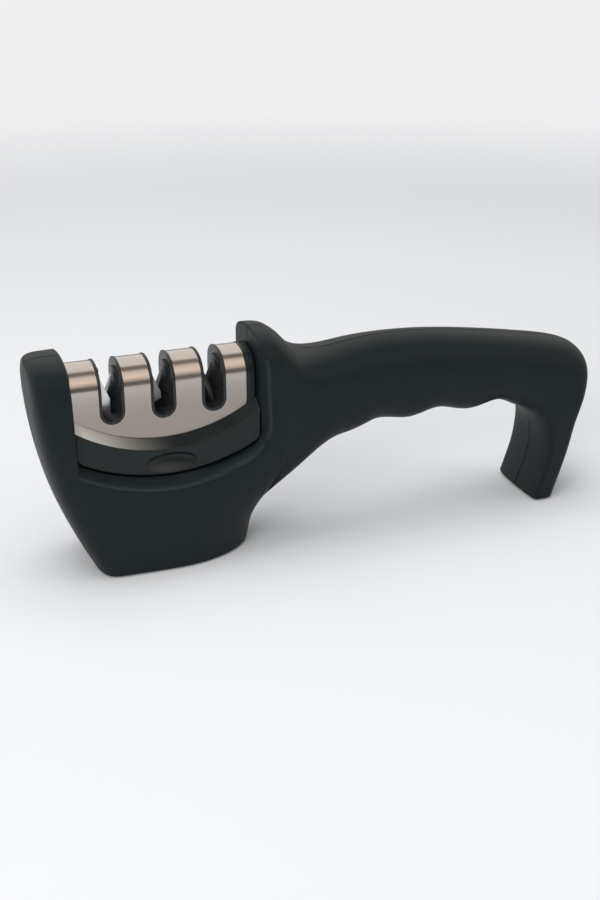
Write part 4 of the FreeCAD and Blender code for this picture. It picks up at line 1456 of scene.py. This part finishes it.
@dataclass
class SteelCover:
    """Bent and slotted sheet over the core.

    Its lower edge is an arc about the bay's centre line, and it ends rear_gap short of the
    cartridge's rear end. The fields that end in rows and columns count quads.
    """

    half_width: float = 9.2
    crown: float = 71.0
    shoulder: float = 7.2
    thickness: float = 0.7
    edge_radius: float = 51.42
    slot_width: float = 8.3
    slot_bottom: float = 52.2
    skirt_least: float = 0.5
    rear_gap: float = 3.08
    columns: int = 22
    skirt_rows: int = 14
    round_rows: int = 12
    arch_rows: int = 39

    def row_level(self, x: Array) -> Array:
        """Height of the row at the slots' lowest point, kept over the lower edge's arc.

        Args:
            x: places along the sheet.
        Returns:
            The larger of slot_bottom and skirt_least over the arc, their change-over rounded.
        """
        over_edge = BAY.arc_z(x, self.edge_radius) + self.skirt_least
        return -blended_minimum(np.full_like(x, -self.slot_bottom), -over_edge, 1.0)

    def land(self, left: float, right: float, cut_left: bool, cut_right: bool) -> Array:
        """One land on the near side, from the lower edge up to the middle.

        A land lies between two slots, or between a slot and the sheet's end.

        Below the slots the rows run from the lower edge's arc up to the slots' lowest point, or
        just over the arc where it is higher than that. Beside the slots' round bottoms the land's
        ends follow the circles, and above them they are straight and the rows follow the arch.

        Args:
            left: X of the land's front end, a slot's centre or the sheet's end.
            right: X of its rear end.
            cut_left: whether a slot is cut at the front end.
            cut_right: whether one is cut at the rear end.
        Returns:
            Grid of shape (rows, columns, 3).
        """
        radius = self.slot_width / 2
        across = np.linspace(0, 1, self.columns + 1)
        x = left + (right - left) * across
        edge = BAY.arc_z(x, self.edge_radius)
        rows = []
        for share in np.linspace(0, 1, self.skirt_rows + 1):
            z = edge + (self.row_level(x) - edge) * share
            rows.append(np.stack([x, np.full_like(x, -self.half_width), z], axis=1))
        for turn in np.linspace(0, QUARTER, self.round_rows + 1)[1:]:
            start = left + cut_left * radius * math.sin(turn)
            end = right - cut_right * radius * math.sin(turn)
            x = start + (end - start) * across
            level = self.row_level(x)
            height = level + (self.slot_bottom + radius - level) * (1 - math.cos(turn))
            rows.append(np.stack([x, np.full_like(x, -self.half_width), height], axis=1))
        start, end = left + cut_left * radius, right - cut_right * radius
        x = start + (end - start) * across
        arch = arch_line(self.half_width, self.crown, self.shoulder,
                         self.slot_bottom + radius, self.arch_rows + 1)
        for y, z in arch[1:self.arch_rows + 1]:
            rows.append(np.stack([x, np.full_like(x, y), np.full_like(x, z)], axis=1))
        return np.stack(rows)

    def build(self) -> bpy.types.Object:
        """Meshes the sheet, gives it its thickness and takes the burr off its edges.

        Returns:
            The finished piece.
        """
        half = BAY.half_cartridge
        ends = [BAY.middle - half, *SLOT_CENTRES, BAY.middle + half - self.rear_gap]
        grids = []
        for number in range(len(ends) - 1):
            land = self.land(ends[number], ends[number + 1], number > 0, number < len(ends) - 2)
            grids += [land, mirrored(land)]
        piece = new_sheet("steel_hood", grids, self.thickness)
        hand_in(piece, Body.CARTRIDGE, ["steel_cover"], STAINLESS)
        return piece


@dataclass
class SlotCore:
    """Core under the steel: a block that carries three rimmed slots, each with a notched web.

    The web's guides leave a vee between them from vee_low up to a gap of guide_half on each side.
    A block is given by its crown's height, its shoulders' radius and the height of its foot: the
    seat is one long block, and each of the four lands beside the slots has one of its own.
    """

    outer_half: float = 4.07
    rim: float = 0.9
    low: float = 52.28
    half_width: float = 9.45
    crown: float = 71.25
    shoulder: float = 7.45
    edge: float = 0.22
    web_half: float = 1.4
    web_spread: float = 5.0
    web_power: float = 2.2
    vee_low: float = 58.5
    vee_angle: float = 22.0
    guide_half: float = 2.2
    guide_round: float = 0.9
    web_sink: float = 2.6
    web_bury: float = 0.1
    web_edge: tuple[float, float] = (0.3, 0.15)
    wall_points: int = 49
    block_half: float = 8.4
    block_gap: float = 3.5
    seat_block: tuple[float, float, float] = (52.0, 0.6, 42.5)
    land_block: tuple[float, float, float] = (70.2, 6.4, 51.0)

    @property
    def centre_z(self) -> float:
        """Height of the centre of a slot's round bottom."""
        return self.low + self.outer_half

    def liner(self, x: float) -> Array:
        """One slot's lining: a U of even thickness whose rims follow the arch.

        Rows run down one wall, round the bottom and up the other; at each the section across is
        a closed loop whose four corners are quarter circles that lean with the arch. At the crown
        the loop has no width.

        Args:
            x: place of the slot's middle.
        Returns:
            Grid of shape (rows, columns, 3).
        """
        count = self.wall_points
        arch = arch_line(self.half_width, self.crown, self.shoulder, self.centre_z, count)
        slope = unit(np.gradient(arch, axis=0))[:count]
        arch = arch[:count]
        wall = np.stack([-np.ones(count), np.zeros(count), arch[:, 1], -arch[:, 0],
                         slope[:, 1], slope[:, 0]], axis=1)[::-1]
        turn = np.linspace(math.pi, 2 * math.pi, 31)[1:-1]
        level, width = np.full_like(turn, self.centre_z), np.full_like(turn, self.half_width)
        bottom = np.stack([np.cos(turn), np.sin(turn), level, width,
                           np.ones_like(turn), np.zeros_like(turn)], axis=1)
        path = np.concatenate([wall, bottom, wall[::-1] * np.array([-1.0, 1, 1, 1, 1, 1])])
        side, down, height, width, lean_out, lean_up = (path[:, [column]] for column in range(6))
        bend = np.linspace(0, QUARTER, 5)[None]
        curve = (1 - np.cos(bend)) * self.edge / self.rim
        depth = self.edge * (1 - np.sin(bend))
        flat, inner_flat = np.linspace(-1, 1, 17)[None, 1:-1], np.linspace(1, -1, 25)[None, 1:-1]
        # Round the loop: share of the rim's thickness inwards, depth under the arch, and side.
        whole = np.ones_like(width)
        across = np.concatenate([0 * flat, curve, 1 - curve[:, ::-1], 1 + 0 * inner_flat,
                                 1 - curve, curve[:, ::-1], 0 * flat[:, :1]], axis=1) * whole
        sink = np.concatenate([self.edge + 0 * flat, depth, depth[:, ::-1],
                               self.edge + 0 * inner_flat, depth, depth[:, ::-1],
                               self.edge + 0 * flat[:, :1]], axis=1) * whole
        sign = np.concatenate([flat, 1 + 0 * depth, 1 + 0 * depth, inner_flat, -1 + 0 * depth,
                               -1 + 0 * depth, flat[:, :1]], axis=1) * whole
        radius = self.outer_half - self.rim * across
        return np.stack([x + side * radius, sign * (width - sink * lean_out),
                         height + down * radius - sink * lean_up], axis=-1)

    def web_face(self, offset: Array) -> Array:
        """Half thickness of the web at an offset along X, as seen from the near side.

        It is even on the left, where an abrasive lies bare in it. On the right it grows with a
        power of the offset and flows into the wall like a bowl.

        Args:
            offset: distances from the slot's middle, to the right.
        Returns:
            Half thicknesses of the same shape.
        """
        share = np.clip(offset / (self.outer_half - self.rim), 0, 1)
        return self.web_half + self.web_spread * share ** self.web_power

    def web(self, x: float) -> list[Array]:
        """The web below the notch and the two guides beside it, as closed loops stacked in Z.

        The gap between the guides grows with the height over the vee's foot times the tangent of
        its angle. The guides' tops follow the rims' arch, sunk under it a little. The far face is
        the near one turned half round about the slot's upright middle line.

        Args:
            x: place of the slot's middle.
        Returns:
            Three grids: the web, the right guide and the left one.
        """
        inner = self.outer_half - self.rim
        reach = inner + self.web_bury
        low = np.linspace(self.low + self.rim - 0.05, self.vee_low, 19)[:, None]
        below = np.maximum(self.centre_z - low, 0)
        half = np.sqrt(np.maximum(reach ** 2 - below ** 2, self.web_bury ** 2))
        count = self.wall_points
        arch = arch_line(self.half_width - self.web_sink, self.crown - self.web_sink,
                         self.shoulder - self.web_sink, self.vee_low, count)[:count][::-1]
        lean = math.tan(math.radians(self.vee_angle))
        vee_top = self.vee_low + self.guide_half / lean
        round_start = arch[0, 1] - self.guide_round
        high = np.concatenate([
            [self.vee_low - 0.2],
            np.linspace(self.vee_low, vee_top, 12),
            np.linspace(vee_top, round_start, 12)[1:],
            arch[0, 1] - self.guide_round * np.linspace(1, 0.02, 8)[1:] ** 2])[:, None]
        gap = np.clip((high - self.vee_low) * lean, 0, self.guide_half)
        wall = np.full_like(gap, reach)
        edge_width, edge_depth = self.web_edge
        grids = []
        for z, start, end in ((low, -half, half), (high, gap, wall), (high, -wall, -gap)):
            offset = start + (end - start) * np.linspace(0, 1, 29)[None]
            from_edge = np.minimum(offset - start, end - offset) / edge_width
            soft = edge_depth * np.maximum(1 - from_edge, 0) ** 2 * (z > self.vee_low + 0.3)
            z = z + 0 * offset
            room = np.interp(-z, -arch[:, 1], -arch[:, 0])
            near = np.minimum(self.web_face(offset), room)
            far = np.minimum(self.web_face(-offset), room)
            front = np.stack([x + offset, -near + soft, z], -1)
            back = np.stack([x + offset, far - soft, z], -1)[:, ::-1]
            grids.append(self.capped(np.concatenate([front, back, front[:, :1]], axis=1)))
        return grids

    @staticmethod
    def capped(loops: Array) -> Array:
        """Stacked loops closed at both ends by drawing the first and the last to their middles."""
        ends = [loops[[number]] * 0 + np.mean(loops[number], axis=0) for number in (0, -1)]
        return np.concatenate([ends[0], loops, ends[1]])

    def build(self) -> bpy.types.Object:
        """Meshes the blocks, the liners and the webs.

        Returns:
            The finished piece.
        """
        half = (BAY.rear - BAY.front) / 2 - self.block_gap
        ends = [BAY.middle - half, *SLOT_CENTRES, BAY.middle + half]
        beside = self.outer_half - self.web_bury
        grids = [arch_block(ends[0], ends[-1], self.block_half, *self.seat_block)]
        for number in range(len(ends) - 1):
            left = ends[number] + beside * (number > 0)
            right = ends[number + 1] - beside * (number < len(ends) - 2)
            grids.append(arch_block(left, right, self.block_half, *self.land_block))
        for x in SLOT_CENTRES:
            grids += [self.liner(x), *self.web(x)]
        piece = new_piece("slot_core", grids)
        hand_in(piece, Body.CARTRIDGE, ["core_near", "core_far"], POLISHED_BLACK)
        return piece


def arch_block(start: float, end: float, half: float, crown: float, radius: float,
               bottom: float) -> Array:
    """An arch outline carried along X and closed at both ends, its end edges rounded.

    Args:
        start: X of its first end.
        end: X of its other end.
        half: half width of the straight sides.
        crown: height of the middle.
        radius: radius of the shoulders.
        bottom: height where the sides start.
    Returns:
        Grid of shape (rows, columns, 3).
    """
    arch = arch_line(half, crown, radius, bottom, 30)
    arch = np.concatenate([arch, arch[:1]])
    middle = np.array([0.0, (crown + bottom) / 2])
    loops = [arch_at(arch, middle, x, share)
             for x, share in ((start, 0), (start, 1), (end, 1), (end, 0))]
    return rounded_profile(loops, [0, 0.3, 0.3, 0], [5, 8, 5], 3)


# ------------------------------------------------------------------ screws

@dataclass
class Screw:
    """Pan-head screws of one kind with a cross recess; heads sit on seats, shanks go on inwards.

    Head and shank are diameters, each seat is the point under a head's middle, and outwards is
    the direction that all the heads face.
    """

    name: str
    body: Body
    nodes: tuple[str, ...]
    head: float
    head_height: float
    shank: float
    length: float
    seats: tuple[tuple[float, float, float], ...]
    outwards: tuple[float, float, float]

    def profile(self) -> Array:
        """Grid about its own axis, head up, with the seat at height 0.

        The head's dome is a half ellipse over a short straight side. The cross is a smooth
        product: it sinks where either of the two bars' distances is small, and ends at the rim of
        the recess. The thread is a wave that turns once round for each of its steps.

        Returns:
            Grid of shape (rows, columns, 3).
        """
        wave, pitch = 0.12, 0.9         # the thread's half depth and its step
        bar_half, bar_reach = 0.105 * self.head, 0.31 * self.head
        turn = np.linspace(0, 2 * math.pi, 65)[None]
        radius = np.concatenate([np.linspace(0, 0.62, 16), np.linspace(0.62, 1, 9)[1:]])[:, None]
        radius = radius * self.head / 2
        dome = 0.45 * self.head_height * np.sqrt(np.maximum(1 - (2 * radius / self.head) ** 2, 0))
        across = np.minimum(np.abs(radius * np.cos(turn)), np.abs(radius * np.sin(turn)))
        bar = np.clip((bar_half - across) / (0.05 * self.head), 0, 1)
        bar = bar * np.clip((bar_reach - radius) / (0.06 * self.head), 0, 1)
        top = 0.55 * self.head_height + dome - 0.6 * self.head_height * bar
        head = np.stack([radius * np.cos(turn), radius * np.sin(turn), top], axis=-1)
        down = np.concatenate([[0.0], np.linspace(-0.2, -self.length + 0.8, 60),
                               [-self.length]])[:, None]
        thread = wave * np.cos(turn + 2 * math.pi * down / pitch) * (down < -1.0)
        thick = self.shank / 2 + thread - wave
        thick[-1] = 0.0
        shank = np.stack([thick * np.cos(turn), thick * np.sin(turn), down + 0 * turn], axis=-1)
        side = np.stack([self.head / 2 * np.cos(turn), self.head / 2 * np.sin(turn), 0 * turn], -1)
        return np.concatenate([head, side, shank])

    def build(self) -> bpy.types.Object:
        """Meshes all screws of this kind as one piece.

        Returns:
            The finished piece.
        """
        shape = self.profile()
        up = np.array(self.outwards)
        first = np.array([1.0, 0.0, 0.0])
        second = np.cross(up, first)
        turned = shape @ np.stack([first, second, up])
        grids = [turned + np.array(seat) for seat in self.seats]
        piece = new_piece(self.name, grids, sharp_angle=40.0)
        hand_in(piece, self.body, self.nodes, ZINC)
        return piece


# ------------------------------------------------------------------ parts that keep their shape

ABRASIVES = {"carbide_blade": CARBIDE, "diamond_bar": DIAMOND, "ceramic_rod": CERAMIC}
PLAIN_FINISHES = {f"{kind}_{side}": finish
                  for kind, finish in ABRASIVES.items() for side in ("left", "right")}
PLAIN_FINISHES |= {"head_pad": RUBBER, "leg_pad": RUBBER}


def dress_parts() -> None:
    """Gives every part that keeps its own shape its finish."""
    for name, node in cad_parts.items():
        if name in PLAIN_FINISHES:
            dress(node, PLAIN_FINISHES[name])


# ------------------------------------------------------------------ studio

@dataclass
class Studio:
    """Pale floor, soft lamps, the surroundings and the camera.

    Places and sizes here are metres, the camera's angles degrees and its lens millimetres. The
    room is what glossy surfaces mirror: each band has its place, from 0 to 1, its level and its
    share of the warm tint. Each lamp has its name, place, size and watts.
    """

    eye: tuple[float, float, float] = (-0.14955, -0.38405, 0.2129)
    azimuth: float = 20.195
    elevation: float = 24.213
    lens: float = 50.97
    room_tint: tuple[float, float, float] = (1.0, 0.97, 0.93)
    room_warm: tuple[float, float, float] = (1.0, 0.86, 0.75)
    room_bands: tuple[tuple[float, float, float], ...] = (
        (0.0, 0.24, 0.0), (1.0, 0.24, 0.0), (0.016, 0.24, 0.0), (0.05, 1.15, 0.0),
        (0.36, 1.18, 0.0), (0.445, 0.24, 0.0), (0.495, 0.24, 0.5), (0.61, 1.20, 0.7),
        (0.74, 1.42, 1.0), (0.85, 0.80, 0.5), (0.91, 0.18, 0.0), (0.99, 0.18, 0.0))
    room_slant: float = 0.10
    ambient: tuple[float, float, float] = (0.40, 0.41, 0.42)
    backdrop: tuple[float, float, float] = (0.86, 0.865, 0.875)
    floor_radius: float = 0.95
    floor_dark: tuple[float, float, float] = (0.87, 0.875, 0.885)
    floor_light: tuple[float, float, float] = (0.90, 0.905, 0.915)
    lamps: tuple[tuple, ...] = (
        ("overhead", (-0.15, 0.10, 0.95), (0.9, 0.7), 4.6),
        ("front_left", (-0.75, -0.75, 0.55), (0.6, 0.6), 5.6),
        ("right_fill", (0.9, -0.45, 0.45), (0.5, 0.6), 1.5))

    def camera(self) -> None:
        """A camera that looks along its azimuth and down by its elevation."""
        data = bpy.data.cameras.new("camera")
        data.lens = self.lens
        data.sensor_width = 36.0
        data.clip_start, data.clip_end = 0.01, 20.0
        camera = placed("camera", data)
        turn, tip = math.radians(self.azimuth), math.radians(self.elevation)
        ahead = Vector((math.sin(turn) * math.cos(tip), math.cos(turn) * math.cos(tip),
                        -math.sin(tip)))
        camera.location = self.eye
        camera.rotation_mode = "QUATERNION"
        camera.rotation_quaternion = ahead.to_track_quat("-Z", "Y")
        bpy.context.scene.camera = camera

    def lamp(self, name: str, place: tuple[float, float, float], size: tuple[float, float],
             power: float, aim: tuple[float, float, float] = (0, 0, 0.04)) -> None:
        """One soft rectangular lamp, which glossy surfaces don't mirror.

        Args:
            name: name of the lamp.
            place: where it stands.
            size: its width and height.
            power: watts.
            aim: the point that it faces.
        """
        data = bpy.data.lights.new(name, "AREA")
        data.shape = "RECTANGLE"
        data.size, data.size_y = size
        data.energy = power
        lamp = placed(name, data)
        lamp.location = place
        lamp.visible_glossy = False
        lamp.rotation_mode = "QUATERNION"
        lamp.rotation_quaternion = (Vector(aim) - Vector(place)).to_track_quat("-Z", "Y")

    def floor(self) -> None:
        """A round pale floor that keeps the object's shadow and fades into the surroundings."""
        sides = 96
        turn = np.linspace(0, 2 * math.pi, sides + 1)[:-1]
        ring = self.floor_radius * np.stack([np.cos(turn), np.sin(turn), 0 * turn], axis=1)
        mesh = bpy.data.meshes.new("floor")
        mesh.from_pydata(ring.tolist(), [], [tuple(range(sides))])
        floor = placed("floor", mesh)
        nodes = Nodes("pale_floor")
        cloud = nodes.noise(nodes.place, 3.0, 2.0)
        nodes.link(nodes.tint(cloud, self.floor_dark, self.floor_light),
                   nodes.shader.inputs["Base Color"])
        nodes.shader.inputs["Roughness"].default_value = 0.9
        nodes.shader.inputs["Specular IOR Level"].default_value = 0.1
        nodes.fade_out(0.45 * self.floor_radius, 0.95 * self.floor_radius)
        mesh.materials.append(nodes.material)

    def world(self) -> None:
        """Soft surroundings, with the pale backdrop where the camera looks straight at them."""
        world = bpy.data.worlds.new("surroundings")
        bpy.context.scene.world = world
        world.use_nodes = True
        tree = world.node_tree
        back = next(n for n in tree.nodes if n.type == "BACKGROUND")
        path = tree.nodes.new("ShaderNodeLightPath")
        mix = tree.nodes.new("ShaderNodeMix")
        mix.data_type = "RGBA"
        colours = [s for s in mix.inputs if s.type == "RGBA"]
        colours[1].default_value = (*self.backdrop, 1)
        tree.links.new(self.mirrored_room(tree, path), colours[0])
        tree.links.new(path.outputs["Is Camera Ray"], mix.inputs["Factor"])
        tree.links.new(next(s for s in mix.outputs if s.type == "RGBA"), back.inputs["Color"])

    def mirrored_room(self, tree: bpy.types.NodeTree, path: bpy.types.Node) -> bpy.types.NodeSocket:
        """What lights the object: plain grey, and for glossy surfaces a room in level bands.

        The bands run from the horizon behind the object, up over the ceiling and down to the
        horizon on the camera's side, by the turn about the axis across the view as a share of
        half a turn: the arc tangent of the height over the part that points away from the camera,
        divided by pi. Both horizons are dark, the wall behind the object is bright, a strip of
        the ceiling is dark, and the rest of it is bright and warm. The room is brighter towards
        its left.

        Args:
            tree: the world's nodes.
            path: its light path node.
        Returns:
            The colour output.
        """
        place = tree.nodes.new("ShaderNodeTexCoord")
        split = tree.nodes.new("ShaderNodeSeparateXYZ")
        tree.links.new(place.outputs["Generated"], split.inputs[0])
        bands = tree.nodes.new("ShaderNodeValToRGB")
        ahead = tree.nodes.new("ShaderNodeVectorMath")
        ahead.operation = "DOT_PRODUCT"
        turn = math.radians(self.azimuth)
        ahead.inputs[1].default_value = (math.sin(turn), math.cos(turn), 0.0)
        tree.links.new(place.outputs["Generated"], ahead.inputs[0])
        round_axis = tree.nodes.new("ShaderNodeMath")
        round_axis.operation = "ARCTAN2"
        tree.links.new(split.outputs["Z"], round_axis.inputs[0])
        tree.links.new(ahead.outputs["Value"], round_axis.inputs[1])
        share = tree.nodes.new("ShaderNodeMath")
        share.operation = "DIVIDE"
        share.inputs[1].default_value = math.pi
        tree.links.new(round_axis.outputs[0], share.inputs[0])
        tree.links.new(share.outputs[0], bands.inputs["Fac"])
        bands.color_ramp.interpolation = "EASE"
        stops = bands.color_ramp.elements
        plain, warm = np.array(self.room_tint), np.array(self.room_warm)
        for number, (place_on_arc, level, warmth) in enumerate(self.room_bands):
            stop = stops[number] if number < 2 else stops.new(place_on_arc)
            stop.position = place_on_arc
            stop.color = (*(level * (plain + (warm - plain) * warmth)), 1.0)
        mix = tree.nodes.new("ShaderNodeMix")
        mix.data_type = "RGBA"
        colours = [s for s in mix.inputs if s.type == "RGBA"]
        colours[0].default_value = (*self.ambient, 1)
        slant = tree.nodes.new("ShaderNodeMath")
        slant.operation = "MULTIPLY_ADD"
        slant.inputs[1].default_value = -self.room_slant
        slant.inputs[2].default_value = 1.0
        tree.links.new(split.outputs["X"], slant.inputs[0])
        scaled = tree.nodes.new("ShaderNodeVectorMath")
        scaled.operation = "SCALE"
        tree.links.new(bands.outputs["Color"], scaled.inputs[0])
        tree.links.new(slant.outputs[0], scaled.inputs["Scale"])
        tree.links.new(scaled.outputs[0], colours[1])
        tree.links.new(path.outputs["Is Glossy Ray"], mix.inputs["Factor"])
        return next(s for s in mix.outputs if s.type == "RGBA")

    def build(self) -> None:
        """Sets up the whole studio."""
        scene = bpy.context.scene
        scene.view_settings.view_transform = "Standard"
        self.camera()
        self.floor()
        self.world()
        for lamp in self.lamps:
            self.lamp(*lamp)


# ------------------------------------------------------------------ whole

def main() -> None:
    """Builds every piece in order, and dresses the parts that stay."""
    logging.basicConfig(level=logging.INFO, format="%(message)s")
    skin = HandleSkin()
    HandleShell(Side.NEAR, skin).build()
    HandleShell(Side.FAR, skin).build()
    CartridgeBase().build()
    SteelCover().build()
    SlotCore().build()
    Screw("shell_screws", Body.HANDLE, tuple(f"shell_screw_{n}" for n in range(1, 6)), 5.4, 2.0,
          2.9, 14.0, tuple((x, HandleShell.screw_seat, z) for x, z in HandleShell.screws),
          (0.0, 1.0, 0.0)).build()
    Screw("core_screws", Body.CARTRIDGE, tuple(f"core_screw_{n}" for n in range(1, 5)), 3.8, 1.4,
          2.0, 9.0, tuple((x, y, CartridgeBase.screw_seat) for x, y in CartridgeBase.screws),
          (0.0, 0.0, -1.0)).build()
    dress_parts()
    Studio().build()


if __name__ == "__main__":
    main()
